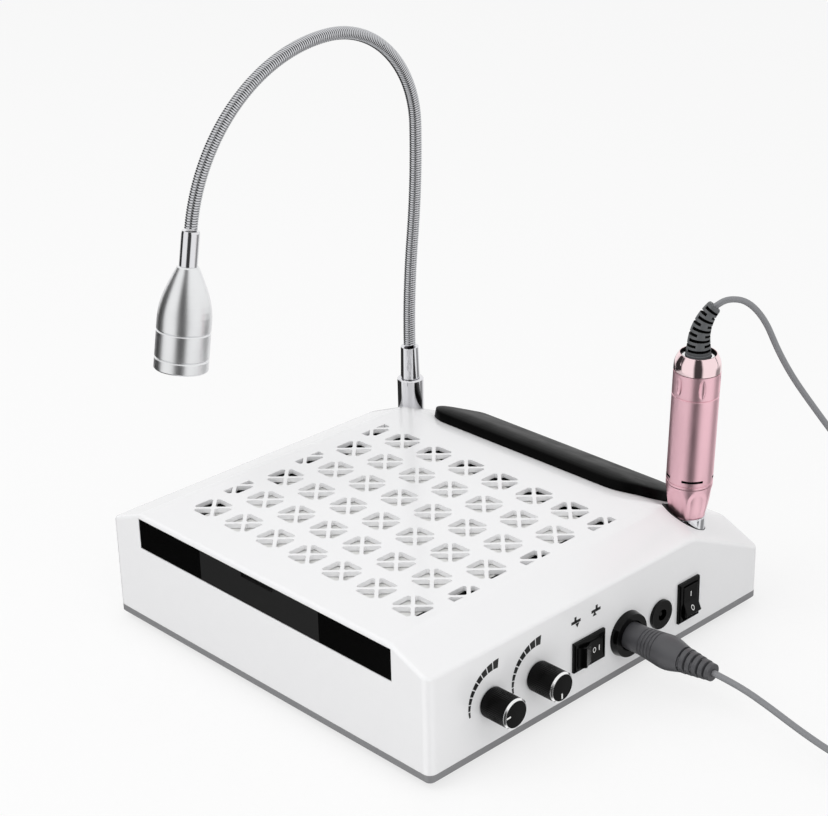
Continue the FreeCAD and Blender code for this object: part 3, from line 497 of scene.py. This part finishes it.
def bootPlace(s):
    # centre and heading along the boot
    base = onLean(boot["from"])
    side = Vector(boot["toward"]).normalized()
    t = max(0.0, s - boot["straight"]) / boot["bendR"]
    rise = min(s, boot["straight"]) + boot["bendR"] * math.sin(t)
    out = boot["bendR"] * (1 - math.cos(t))
    heading = Vector((0, 0, math.cos(t))) + side * math.sin(t)
    return base + Vector((0, 0, rise * mm)) + side * (out * mm), heading.normalized()


bootLong = boot["straight"] + boot["bendR"] * math.radians(boot["turn"])


def coilPoints():
    points = []
    lays = cord["lays"]
    for step in range(len(lays) * cord["perTurn"] + 1):
        turns = step / cord["perTurn"]
        index = min(int(turns), len(lays) - 1)
        before, after = lays[max(index - 1, 0)], lays[index]
        part = min(1.0, (turns - index) / cord["shift"])
        part = part * part * (3 - 2 * part)
        dr = before[0] + (after[0] - before[0]) * part
        dz = before[1] + (after[1] - before[1]) * part
        a = math.radians(cord["startTurn"]) - math.tau * turns
        r = cord["coilRadius"] + dr
        points.append((cord["coilMiddle"][0] + r * math.cos(a), cord["coilMiddle"][1] + r * math.sin(a),
                       cord["coilHeight"] + dz))
    return points


def splineThrough(name, points, thick=0.0):
    curve = bpy.data.curves.new(name, "CURVE")
    curve.dimensions = "3D"
    curve.resolution_u = 6
    curve.bevel_depth = thick
    curve.bevel_resolution = 4
    curve.use_fill_caps = True
    spline = curve.splines.new("NURBS")
    spline.points.add(len(points) - 1)
    for point, place in zip(spline.points, points):
        point.co = (*place, 1.0)
    spline.order_u = 3
    spline.use_endpoint_u = True
    holder = newObject(name, curve)
    bpy.context.view_layer.update()
    mesh = bpy.data.meshes.new_from_object(holder.evaluated_get(bpy.context.evaluated_depsgraph_get()))
    bpy.data.objects.remove(holder)
    return mesh


bootTip = bootPlace(bootLong)[0]
route = [bootPlace(bootLong - 3.0)[0], bootTip]
route += [inFrame(*p) for p in cord["fromHandpiece"]]
route += [inFrame(*p) for p in coilPoints()]
route += [inFrame(*p) for p in reversed(cord["fromPlug"])]
route += [inFrame(*cord["plug"])]
line = splineThrough("cordLine", route)
cordMesh = splineThrough("cordSkin", route, cord["diameter"] * mm / 2)
cordPiece = addPiece("handpieceCord", cordMesh, "cordPvc", None,
                     ("cord_handpiece_run", "cord_coil", "cord_plug_run"))
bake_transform(cordPiece)


# Boot: soft sleeve with rows of slots that let it bend

bootShape = {"base": 5.9, "tip": 3.4, "rows": 9, "pitch": 2.5, "first": 3.4, "slot": 1.25, "depth": 1.6,
             "core": 2.4, "slotTurn": 46.0, "slotHalf": 66.0}


def bootRadius(s):
    t = max(0.0, s - 2.0) / (bootLong - 2.0)
    return bootShape["base"] + (bootShape["tip"] - bootShape["base"]) * t


profile = [(0.0, 0.0), (6.1, 0.0), (6.1, 1.6), (5.7, 1.9)]
for row in range(bootShape["rows"]):
    low = bootShape["first"] + row * bootShape["pitch"]
    high = low + bootShape["slot"]
    profile += [(bootRadius(low), low), (bootRadius(high), high)]
profile += [(bootRadius(bootLong) + 0.1, bootLong - 0.7), (bootRadius(bootLong) - 0.3, bootLong),
            (1.75, bootLong), (1.6, bootLong - 2.5), (0.0, bootLong - 2.5)]
bm = turned(profile, steps=48)
for row in range(bootShape["rows"]):
    middle = bootShape["first"] + row * bootShape["pitch"] + bootShape["slot"] / 2
    wanted = []
    for face in bm.faces:
        centre = face.calc_center_median()
        out, angle = aboutZ(centre)
        if abs(centre.z / mm - middle) > 0.3 or out < bootShape["core"]:
            continue
        offset = (angle + bootShape["slotTurn"] + (90.0 if row % 2 else 0.0)) % 180.0
        if min(offset, 180.0 - offset) < bootShape["slotHalf"]:
            wanted.append(face)
            face.material_index = 1
    bmesh.ops.inset_region(bm, faces=wanted, thickness=0.04 * mm, depth=-bootShape["depth"] * mm,
                           use_even_offset=True)
toSide = Vector(boot["toward"]).normalized()
toCross = Vector((-toSide.y, toSide.x, 0))
for vert in bm.verts:
    place, heading = bootPlace(vert.co.z / mm)
    outward = toCross.cross(heading).normalized()
    if outward.dot(toSide) < 0:
        outward = -outward
    vert.co = place + outward * vert.co.dot(toSide) + toCross * vert.co.dot(toCross)
bmesh.ops.recalc_face_normals(bm, faces=bm.faces)
bootPiece = newPiece("handpieceBoot", bm, "bootPvc", "handpiece", ("handpiece_relief",))
bootPiece.data.materials.append(made["paintedShadeBlack"])  # the slots' floors are painted near black: painted shade


# Handpiece: nose with scooped flutes, grip ring with oval dimples, dark slits

grip = {"radius": 11.15, "bore": 6.45, "ringBore": 9.6, "noseFrom": 57.5, "noseTop": 74.4, "seam": 74.6,
        "flutes": 6, "noseFirst": -27.0, "fluteHalf": 28.5, "fluteDeep": 0.6, "fluteWall": 1.7,
        "archTop": 73.8, "archTall": 7.0, "slits": 4, "slitFirst": -45.0, "slit": (78.2, 79.4),
        "slitHalf": 27.0, "slitDeep": 0.9, "ringFrom": 120.7, "capFrom": 132.9, "capTo": 141.3,
        "ringFirst": -37.0, "dimpleMid": 126.9, "dimpleWide": 1.5, "dimpleTall": 4.4, "dimpleDeep": 0.8}
leanTurn = Vector((0, 0, 1)).rotation_difference(leanAxis).to_matrix().to_4x4()
leanFrame = (Matrix.Translation(chuckJoint["pos_m"]) @ leanTurn
             @ Matrix.Translation((0, 0, -axisHeight * mm)))


def noseRadius(h):
    profile = [(58.0, 9.15), (60.7, 9.75), (64.0, 10.4), (67.0, 10.85), (70.0, 11.08), (74.4, 11.15)]
    for (low, small), (high, large) in zip(profile, profile[1:]):
        if h <= high:
            return small + (large - small) * max(0.0, (h - low) / (high - low))
    return grip["radius"]


def turnNear(angle, first, count):
    # degrees from the nearest of the places spaced evenly round
    step = 360.0 / count
    return (angle - first + step / 2) % step - step / 2


levels = [58.0 + 0.41 * i for i in range(41)]
bm = turned([(grip["bore"], grip["noseFrom"]), (8.8, grip["noseFrom"])]
            + [(noseRadius(h), h) for h in levels] + [(grip["bore"], grip["noseTop"])], steps=240)
for vert in bm.verts:
    out, angle = aboutZ(vert.co)
    if out < 8.0:
        continue
    across = turnNear(angle, grip["noseFirst"], grip["flutes"]) / grip["fluteHalf"]
    rise = max(0.0, (vert.co.z / mm - (grip["archTop"] - grip["archTall"])) / grip["archTall"])
    room = 1.0 - across * across - rise * rise
    if room > 0:
        pressIn(vert, grip["fluteDeep"] * min(1.0, room * grip["fluteWall"]))
newPiece("noseGrip", moved(bm, leanFrame), "roseAnodised", "nose", ("nose_sleeve",),
         sharp=50)

r, seam, (low, high) = grip["radius"], grip["seam"], grip["slit"]
levels = [seam + 0.15, 75.9, low, high, 81.0] + [84.0 + 3.0 * i for i in range(13)]
outside = [(r, h) for h in levels]
outside[2:2] = [(r - 0.25, 76.0), (r - 0.25, 76.35), (r, 76.45)]
bm = turned([(grip["bore"], seam), (r - 0.15, seam)] + outside
            + [(r, grip["ringFrom"] - 0.3), (r - 0.3, grip["ringFrom"]),
               (grip["ringBore"], grip["ringFrom"]), (grip["ringBore"], 82.0), (grip["bore"], 82.0)],
            steps=240)
wanted = []
for face in bm.faces:
    centre = face.calc_center_median()
    out, angle = aboutZ(centre)
    if (low < centre.z / mm < high and out > 11.0
            and abs(turnNear(angle, grip["slitFirst"], grip["slits"])) < grip["slitHalf"]):
        wanted.append(face)
        face.material_index = 1
bmesh.ops.inset_region(bm, faces=wanted, thickness=0.05 * mm, depth=-grip["slitDeep"] * mm)
barrelPiece = newPiece("barrelShell", moved(bm, leanFrame), "roseAnodised", "handpiece",
                       ("handpiece_barrel",), sharp=30)
# the slits are painted near black inside: painted shade of a deep vent
barrelPiece.data.materials.append(made["paintedShadeBlack"])

levels = [grip["ringFrom"] + 0.35 + 0.375 * i for i in range(32)]
bm = turned([(grip["ringBore"], grip["ringFrom"]), (r - 0.3, grip["ringFrom"])]
            + [(r, h) for h in levels] + [(grip["ringBore"], grip["capFrom"])], steps=300)
for vert in bm.verts:
    out, angle = aboutZ(vert.co)
    across = math.radians(turnNear(angle, grip["ringFirst"], grip["flutes"])) * r / grip["dimpleWide"]
    rise = (vert.co.z / mm - grip["dimpleMid"]) / grip["dimpleTall"]
    room = 1.0 - across * across - rise * rise
    if room > 0 and out > 11.0:
        pressIn(vert, grip["dimpleDeep"] * math.sqrt(room))
newPiece("gripRing", moved(bm, leanFrame), "roseAnodised", "handpiece", ("grip_ring",),
         sharp=30)

start, end = grip["capFrom"], grip["capTo"]
dome = [(r, 0.15), (11.14, 1.2), (11.1, 2.2), (11.0, 3.2), (10.85, 4.1), (10.62, 5.0), (10.3, 5.8),
        (9.9, 6.6), (9.45, 7.4), (9.05, 8.1), (8.85, 8.35), (8.6, 8.4), (8.5, 8.2), (8.5, 6.0)]
bm = turned([(grip["ringBore"], start), (r - 0.15, start)] + [(x, start + h) for x, h in dome]
            + [(7.95, start + 6.0), (7.95, start + 2.0), (grip["ringBore"], start + 2.0)], steps=160)
newPiece("rearCap", moved(bm, leanFrame), "rosePolished", "handpiece", ("rear_cap",),
         sharp=32)
# a near-black ring at the cap's top inner edge: a painted dark reflection of the rim
bm = turned([(7.95, end - 2.3), (8.48, end - 2.3), (8.48, end - 0.3), (8.1, end - 0.25),
             (7.95, end - 0.5)], steps=96)
newPiece("capPaintedDarkRing", moved(bm, leanFrame), "paintedShadeBlack", "handpiece")
nut = [(6.45, 49.0), (8.7, 49.0), (9.0, 49.3), (9.05, 56.7), (8.8, 57.0), (8.8, 57.45), (6.45, 57.45)]
newPiece("colletNut", moved(turned(nut, steps=96), leanFrame), "nickelPlate", "handpiece")


# Black ring lining the top of the well's wall, flush with the case's skin; it is thinner where the handpiece
# rests

lip = {"wall": 10.66, "wallOff": 1.5, "hole": 10.14, "holeOff": 1.0, "deep": 6.0, "proud": 0.06,
       "steps": 120}
toLeft = Vector((-0.688, -0.725, 0.0))
bm = bmesh.new()
rings = [[], [], [], []]
for step in range(lip["steps"]):
    a = math.tau * step / lip["steps"]
    ray = Vector((math.cos(a), math.sin(a), 0.0))
    edge = leanFrame @ ((ray * (lip["wall"] + 0.25) + toLeft * lip["wallOff"] + Vector((0, 0, 60))) * mm)
    skin = frame["nodes"]["top_shell"].ray_cast(edge + Vector((0, 0, 0.05)), Vector((0, 0, -1)))[1]
    top = (leanFrame.inverted() @ skin).z / mm + lip["proud"]
    foot = top - lip["deep"]
    wall = ray * lip["wall"] + toLeft * lip["wallOff"]
    hole = ray * lip["hole"] + toLeft * lip["holeOff"]
    for ring, corner, height in zip(rings, (wall, wall, hole, hole), (foot, top, top, foot)):
        ring.append(bm.verts.new((corner.x * mm, corner.y * mm, height * mm)))
for pair in zip(rings, rings[1:] + rings[:1]):
    edges = [bm.edges.get(ends) or bm.edges.new(ends)
             for ring in pair for ends in zip(ring, ring[1:] + ring[:1])]
    bmesh.ops.bridge_loops(bm, edges=edges)
bmesh.ops.recalc_face_normals(bm, faces=bm.faces)
newPiece("wellLip", moved(bm, leanFrame), "footRubber", "root")


# Plug: ringed grip and a stepped, slotted relief

plug = {"axis": (13.4, 24.6), "gripFrom": 121.0, "gripLong": 12.0, "gripR": 6.72, "gripSwell": 1.3,
        "rings": 5, "ringFrom": 121.8, "ringPitch": 2.0, "ringDeep": 0.35,
        "reliefFrom": 144.0, "reliefTo": 160.5, "segments": 5, "reliefR": 6.0, "taper": 0.44,
        "slotDeep": 1.3, "slotTurn": 40.0, "slotWide": 50.0}
plugFrame = onPanel(*plug["axis"], x=-panelX)
profile = [(0.0, 104.5), (6.7, 104.5), (6.7, plug["gripFrom"])]
for i in range(plug["rings"]):
    x = plug["ringFrom"] + i * plug["ringPitch"]
    swell = plug["gripR"] + plug["gripSwell"] * ((x - plug["gripFrom"]) / plug["gripLong"])
    profile += [(swell, x), (swell - plug["ringDeep"], x + 0.15), (swell - plug["ringDeep"], x + 0.6),
                (swell + 0.08, x + 0.75)]
profile += [(8.0, 132.6), (8.12, 134.5), (8.05, 136.5), (7.6, 139.0), (6.9, 141.5), (6.2, 144.0),
            (0.0, 144.0)]
plugShell = newPiece("plugShell", moved(turned(profile, steps=72), plugFrame), "plugPvc", "root",
                     ("plug_body",), sharp=40)
start, end = plug["reliefFrom"], plug["reliefTo"]
pitch = (end - start) / plug["segments"]
profile = [(0.0, start - 0.5), (5.0, start - 0.5), (5.0, start + 0.3)]
for i in range(plug["segments"]):
    x = start + i * pitch
    outer = plug["reliefR"] - plug["taper"] * i
    profile += [(outer - plug["slotDeep"], x + 0.3), (outer - plug["slotDeep"], x + 0.9),
                (outer, x + 1.05), (outer - 0.12, x + pitch - 0.1)]
profile += [(outer - 0.8, end), (1.7, end), (1.6, end - 2), (0.0, end - 2)]
bm = turned(profile, steps=64)
wanted = []
for face in bm.faces:
    centre = face.calc_center_median()
    row = int((centre.z / mm - start) / pitch)
    out, angle = aboutZ(centre)
    if 0 <= row < plug["segments"] - 1 and 3.0 < out < plug["reliefR"] - plug["taper"] * row - 1.2:
        angle += 90.0 if row % 2 else 0.0
        if (angle + plug["slotTurn"]) % 180.0 < plug["slotWide"]:
            wanted.append(face)
bmesh.ops.inset_region(bm, faces=wanted, thickness=0.02 * mm, depth=plug["slotDeep"] * mm)
plugBoot = newPiece("plugBoot", moved(bm, plugFrame), "plugPvc", "root", ("plug_relief",),
                    sharp=40)


# Marks on the rockers and the panel: I, O and the two turning signs

marks = {"thick": 0.08, "round": 0.03, "over": 0.01, "ringWide": 0.42, "ringSqueeze": 0.75}
signs = {"places": [(-21.6, 45.1, 1), (-8.1, 45.6, -1)], "bar": (6.2, 1.5), "tick": (1.4, 2.6),
         "tickAt": (-0.4, 1.3), "head": 1.5, "headAt": (0.9, -1.7), "over": 0.02, "ink": 0.06}


def markFrame(node, y, z):
    # lies on whatever the node shows at this place of the panel
    ray = inFrame(panelX + 40, y, z), Vector((-1, 0, 0))
    place, normal = frame["nodes"][node].ray_cast(*ray)[1:3]
    side = Vector((0, 0, 1)).cross(normal).normalized()
    up = normal.cross(side).normalized()
    turnTo = Matrix((side, up, normal)).transposed().to_4x4()
    return Matrix.Translation(place + normal * marks["over"] * mm) @ turnTo


def barMark(name, matrix, wide, tall, finish, body):
    bm = block(wide, tall, marks["thick"])
    soften(bm, marks["round"], segments=1)
    newPiece(name, moved(bm, matrix), finish, body)


def ringMark(name, matrix, radius, body):
    inside, half = radius - marks["ringWide"], marks["thick"] / 2
    bm = turned([(inside, -half), (radius, -half), (radius, half), (inside, half)], steps=40)
    narrow = Matrix.Diagonal((marks["ringSqueeze"], 1.0, 1.0, 1.0))
    newPiece(name, moved(bm, matrix @ narrow), "padInkWhite", body)


barMark("directionI", markFrame("direction_rocker", -8.1, 27.2), 0.5, 2.8, "padInkWhite", "direction_key")
ringMark("directionO", markFrame("direction_rocker", -11.4, 27.2), 1.4, "direction_key")
barMark("lampI", markFrame("lamp_rocker", 57.9, 28.2), 0.5, 2.6, "padInkWhite", "lamp_key")
ringMark("lampO", markFrame("lamp_rocker", 57.9, 21.2), 1.4, "lamp_key")

for number, (y, z, side) in enumerate(signs["places"]):
    base = "turnSign" + str(number + 1)
    tickY, tickZ = signs["tickAt"]
    headY, headZ = signs["headAt"]
    barMark(base + "Bar", onPanel(y, z, signs["over"]), *signs["bar"], "screenInkBlack", "root")
    barMark(base + "Tick", onPanel(y + tickY * side, z + tickZ, signs["over"]), *signs["tick"],
            "screenInkBlack", "root")
    bm = bmesh.new()
    bmesh.ops.create_circle(bm, cap_ends=True, segments=3, radius=signs["head"] * mm)
    thicken(bm, signs["ink"] * mm)
    facing = Matrix.Rotation(math.pi if side > 0 else 0.0, 4, "Z")
    newPiece(base + "Head", moved(bm, onPanel(y + headY * side, z + headZ, signs["over"]) @ facing),
             "screenInkBlack", "root")
print("handpiece, plug and marks")


# Gooseneck: a wound hose, in one piece for each of its bending places. The wound strip is given as
# radius, share of the pitch, and how much painted shade its grooves take.

hose = {"foot": (-88.9, 69.0, 96.0), "arcs": [(452.0, -7.6), (452.0, 7.6), (56.0, 90.0), (92.0, 80.0)],
        "turns": 280, "steps": 20, "splits": [0, 64, 143, 216, 280], "weld": 0.02,
        "strip": [(2.85, 0.0, 1.0), (3.12, 0.17, 0.35), (3.25, 0.5, 0.0), (3.12, 0.83, 0.35),
                  (2.85, 1.0, 1.0)]}
hoseLong = sum(r * math.radians(abs(t)) for r, t in hose["arcs"])


def hosePlace(s):
    # centre, heading angle from upright towards the front
    y, z, tilt = hose["foot"][1], hose["foot"][2], 0.0
    left = s
    for index, (radius, turn) in enumerate(hose["arcs"]):
        whole = radius * math.radians(abs(turn))
        last = index == len(hose["arcs"]) - 1
        step = left if last else min(left, whole)
        bend = (1 if turn > 0 else -1) / radius
        following = tilt + step * bend
        y += (math.cos(following) - math.cos(tilt)) / bend
        z += (math.sin(following) - math.sin(tilt)) / bend
        tilt = following
        left -= step
        if left <= 1e-9:
            break
    return inFrame(hose["foot"][0], y, z), tilt


def alongHose(bm):
    for vert in bm.verts:
        place, tilt = hosePlace(vert.co.z / mm)
        vert.co = place + Vector((vert.co.x, vert.co.y * math.cos(tilt), vert.co.y * math.sin(tilt)))


def hosePiece(number, first, last, near, far, replaced):
    pitch = hoseLong / hose["turns"]
    bm = bmesh.new()
    # each point of the strip carries how much painted groove shade it takes
    dark = bm.verts.layers.float.new("paintedGrooveShade")
    verts = []
    for r, part, shade in hose["strip"]:
        vert = bm.verts.new((r * mm, 0, (first + part) * pitch * mm))
        vert[dark] = shade
        verts.append(vert)
    edges = [bm.edges.new(pair) for pair in zip(verts, verts[1:])]
    steps = hose["steps"] * (last - first - (1 if last == hose["turns"] else 0))
    bmesh.ops.spin(bm, geom=verts + edges, cent=(0, 0, 0), axis=(0, 0, 1),
                   dvec=(0, 0, pitch * mm / hose["steps"]), angle=math.tau * steps / hose["steps"],
                   steps=steps, use_merge=False)
    bmesh.ops.remove_doubles(bm, verts=bm.verts, dist=hose["weld"] * mm)
    bmesh.ops.holes_fill(bm, edges=[e for e in bm.edges if e.is_boundary], sides=0)
    bmesh.ops.recalc_face_normals(bm, faces=bm.faces)
    alongHose(bm)
    piece = newPiece("neckHose" + str(number), bm, "hoseChrome", None, replaced, sharp=75)
    tuple(hosePlace(near)[0])
    tuple(hosePlace(far)[0])
    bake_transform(piece)


bends = [(5.0, 45.0), (108.0, 152.0), (193.0, 237.0), (283.0, 327.0)]
for i, (near, far) in enumerate(bends):
    nodes = ("neck_link_" + str(i + 1),) if i < 3 else ("neck_link_4", "neck_link_5")
    hosePiece(i + 1, hose["splits"][i], hose["splits"][i + 1], near, far, nodes)
print("gooseneck")


# Knobs: fluted body, cut silver rim, dished face and a white pointer

knob = {"radius": 7.2, "from": 0.3, "tip": 15.0, "rim": 0.8, "flutes": 48, "fluteDeep": 0.16,
        "hollowR": 6.0, "hollow": 3.6, "pointer": (3.1, 5.75, 0.85), "pointerThick": 0.3}


def makeKnob(name, y, z, pointerTurn, body, node):
    tip, r, rim = knob["tip"], knob["radius"], knob["rim"]
    heights = [knob["from"] + 0.4, 2.0, 6.0, 10.0, tip - rim - 0.5]
    profile = [(0.0, knob["hollow"]), (knob["hollowR"], knob["hollow"]), (knob["hollowR"], knob["from"]),
               (r - 0.2, knob["from"])]
    profile += [(r, h) for h in heights]
    profile += [(r, tip - rim), (r - rim, tip - 0.02), (r - rim - 0.1, tip - 0.22), (2.0, tip - 0.34),
                (0.0, tip - 0.36)]
    bm = turned(profile, steps=knob["flutes"] * 4)
    for vert in bm.verts:
        out, angle = aboutZ(vert.co)
        if out > r - 0.01 and 1.2 < vert.co.z / mm < tip - rim - 0.2:
            wave = 0.5 - 0.5 * math.cos(knob["flutes"] * math.radians(angle))
            pressIn(vert, knob["fluteDeep"] * wave)
    place = onPanel(y, z)
    newPiece(name + "Knob", moved(bm, place), "phenolicBlack", body, (node,), sharp=30)
    ring = [(r - rim - 0.08, tip - 0.3), (r - rim - 0.08, tip), (r - rim + 0.05, tip),
            (r + 0.02, tip - rim + 0.1), (r + 0.02, tip - rim - 0.1), (r - 0.4, tip - rim - 0.1)]
    newPiece(name + "KnobRim", moved(turned(ring, steps=96), place), "diamondCutAlloy", body,
             sharp=20)
    start, end, width = knob["pointer"]
    bm = block(end - start, width, knob["pointerThick"])
    moved(bm, Matrix.Translation(((start + end) / 2 * mm, 0, (tip - 0.28) * mm)))
    soften(bm, 0.08, segments=2)
    moved(bm, place @ Matrix.Rotation(math.radians(pointerTurn), 4, "Z"))
    newPiece(name + "KnobPointer", bm, "padInkWhite", body)


makeKnob("fan", -76.5, 28.7, 180.0, "fan_dial", "fan_knob")
makeKnob("motor", -47.0, 28.7, 270.0, "motor_dial", "motor_knob")


# Printed scales round the knobs: nine wedges that thicken clockwise

dial = {"places": [(-74.0, 28.7), (-47.0, 28.7)], "inner": 15.2, "thick": 4.5, "thin": 0.9, "thinning": 0.85,
        "from": 83.0, "to": 189.0, "wedges": 9, "gap": 1.8, "over": 0.02, "ink": 0.06}

for number, (y, z) in enumerate(dial["places"]):
    bm = bmesh.new()
    span = (dial["to"] - dial["from"] + dial["gap"]) / dial["wedges"]
    for i in range(dial["wedges"]):
        a = math.radians(dial["from"] + i * span)
        b = math.radians(dial["from"] + (i + 1) * span - dial["gap"])
        pair = [bm.verts.new((r * mm * math.cos(a), r * mm * math.sin(a), 0))
                for r in (dial["inner"], dial["inner"] + 1.0)]
        edge = bm.edges.new(pair)
        bmesh.ops.spin(bm, geom=pair + [edge], cent=(0, 0, 0), axis=(0, 0, 1), angle=b - a, steps=4,
                       use_merge=False)
    for vert in bm.verts:
        out, angle = aboutZ(vert.co)
        if out > dial["inner"] + 0.5:
            part = (angle % 360 - dial["from"]) / (dial["to"] - dial["from"])
            thick = dial["thick"] + (dial["thin"] - dial["thick"]) * part ** dial["thinning"]
            vert.co *= (dial["inner"] + thick) / out
    thicken(bm, dial["ink"] * mm)
    newPiece("dialScale" + str(number + 1), moved(bm, onPanel(y, z, dial["over"])), "screenInkBlack", "root")
print("panel")


# Hand rest: moulded soft pad that follows the roof's bend

rest = {"left": -73.0, "right": 76.0, "front": 61.0, "back": 105.0, "leftR": 11.0, "rightR": 21.0,
        "low": 0.15, "wall": 4.47, "frontLeftR": 17.0, "arcSteps": 10, "cuts": 21,
        "crown": [(0.3, 0.3), (0.6, 0.62), (1.3, 1.05), (2.3, 1.5), (2.6, 1.9), (2.8, 2.2)]}
roof = {"top": 64.2, "fold": 63.5, "foldR": 30.0, "slope": math.radians(25)}
bendFrom = roof["fold"] - roof["foldR"] * math.tan(roof["slope"] / 2)
bendLong = roof["foldR"] * roof["slope"]


def roofPlace(y, t):
    # point at a height t over the roof, at a length y back from the front measured along it
    if y < bendFrom:
        return y, roof["top"] + t
    a = min((y - bendFrom) / roof["foldR"], roof["slope"])
    past = max(0.0, y - bendFrom - bendLong)
    return (bendFrom + (roof["foldR"] + t) * math.sin(a) + past * math.cos(a),
            roof["top"] - roof["foldR"] + (roof["foldR"] + t) * math.cos(a) - past * math.sin(a))


def alongRoof(y):
    # length along the roof for a plan distance y
    if y < bendFrom:
        return y
    a = math.asin(min((y - bendFrom) / roof["foldR"], math.sin(roof["slope"])))
    past = max(0.0, y - bendFrom - roof["foldR"] * math.sin(roof["slope"]))
    return bendFrom + roof["foldR"] * a + past / math.cos(roof["slope"])


outline = []
for left, front, r, a0 in (
        (rest["right"] - rest["rightR"], rest["front"] + rest["rightR"], rest["rightR"], -90),
        (rest["right"] - rest["rightR"], rest["back"] - rest["rightR"], rest["rightR"], 0),
        (rest["left"] + rest["leftR"], rest["back"] - rest["leftR"], rest["leftR"], 90),
        (rest["left"] + rest["frontLeftR"], rest["front"] + rest["frontLeftR"], rest["frontLeftR"], 180)):
    for i in range(rest["arcSteps"] + 1):
        a = math.radians(a0 + 90 * i / rest["arcSteps"])
        outline.append((left + r * math.cos(a), front + r * math.sin(a)))
bm = bmesh.new()
top = bm.faces.new([bm.verts.new((x * mm, y * mm, 0)) for x, y in outline])
grown = bmesh.ops.extrude_face_region(bm, geom=[top])
top = next(f for f in grown["geom"] if isinstance(f, bmesh.types.BMFace))
bmesh.ops.translate(bm, vec=(0, 0, rest["wall"] * mm), verts=top.verts)
done = 0.0
for inset, rise in rest["crown"]:
    bmesh.ops.inset_region(bm, faces=[top], thickness=inset * mm, depth=0.0)
    bmesh.ops.translate(bm, vec=(0, 0, (rise - done) * mm), verts=top.verts)
    done = rise
bmesh.ops.recalc_face_normals(bm, faces=bm.faces)
for k in range(1, rest["cuts"] + 1):
    y = rest["front"] + (rest["back"] - rest["front"]) * k / (rest["cuts"] + 1)
    bmesh.ops.bisect_plane(bm, geom=bm.verts[:] + bm.edges[:] + bm.faces[:], plane_co=(0, y * mm, 0),
                           plane_no=(0, 1, 0), dist=1e-7)
for vert in bm.verts:
    y, z = roofPlace(alongRoof(vert.co.y / mm), rest["low"] + vert.co.z / mm)
    vert.co = inFrame(vert.co.x / mm, y, z)
restPiece = newPiece("handRest", bm, "padUrethane", "root", ("hand_rest_pad",), sharp=60)


# Filter: a spun fleece pad in the drawer, its border painted near black as shade past the fleece's edge

pad = {"cells": (90, 80), "edge": 3.0, "crown": 1.35, "sunk": 0.15, "nap": 0.08, "napsPerMetre": 130,
       "left": -67.0, "right": 75.0, "front": -104.0, "back": 31.5}

low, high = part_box("filter_media")
extent = high - low
bm = bmesh.new()
bmesh.ops.create_grid(bm, x_segments=pad["cells"][0], y_segments=pad["cells"][1], size=0.5)
bmesh.ops.scale(bm, vec=(extent.x, extent.y, 1), verts=bm.verts)
thicken(bm, extent.z)
for vert in bm.verts:
    edgeX = min(1.0, (extent.x / 2 - abs(vert.co.x)) / (pad["edge"] * mm))
    edgeY = min(1.0, (extent.y / 2 - abs(vert.co.y)) / (pad["edge"] * mm))
    nap = noise.noise(Vector((vert.co.x, vert.co.y, 0)) * pad["napsPerMetre"])
    if vert.co.z > extent.z / 2:
        vert.co.z += (pad["crown"] * min(edgeX, edgeY) - pad["sunk"] - pad["nap"] * nap) * mm
moved(bm, Matrix.Translation(((low.x + high.x) / 2, (low.y + high.y) / 2, low.z)))
filterPiece = newPiece("filterPad", bm, "fleece", "drawer", ("filter_media",))
filterPiece.data.materials.append(made["paintedShadeBlack"])
# outside this rectangle the pad is painted near black: painted shade under the grille's far holes
unshadedLow, unshadedHigh = inFrame(pad["left"], pad["front"], 0), inFrame(pad["right"], pad["back"], 0)
for polygon in filterPiece.data.polygons:
    middle = polygon.center
    if not (unshadedLow.x < middle.x < unshadedHigh.x and unshadedLow.y < middle.y < unshadedHigh.y):
        polygon.material_index = 1


print("done")
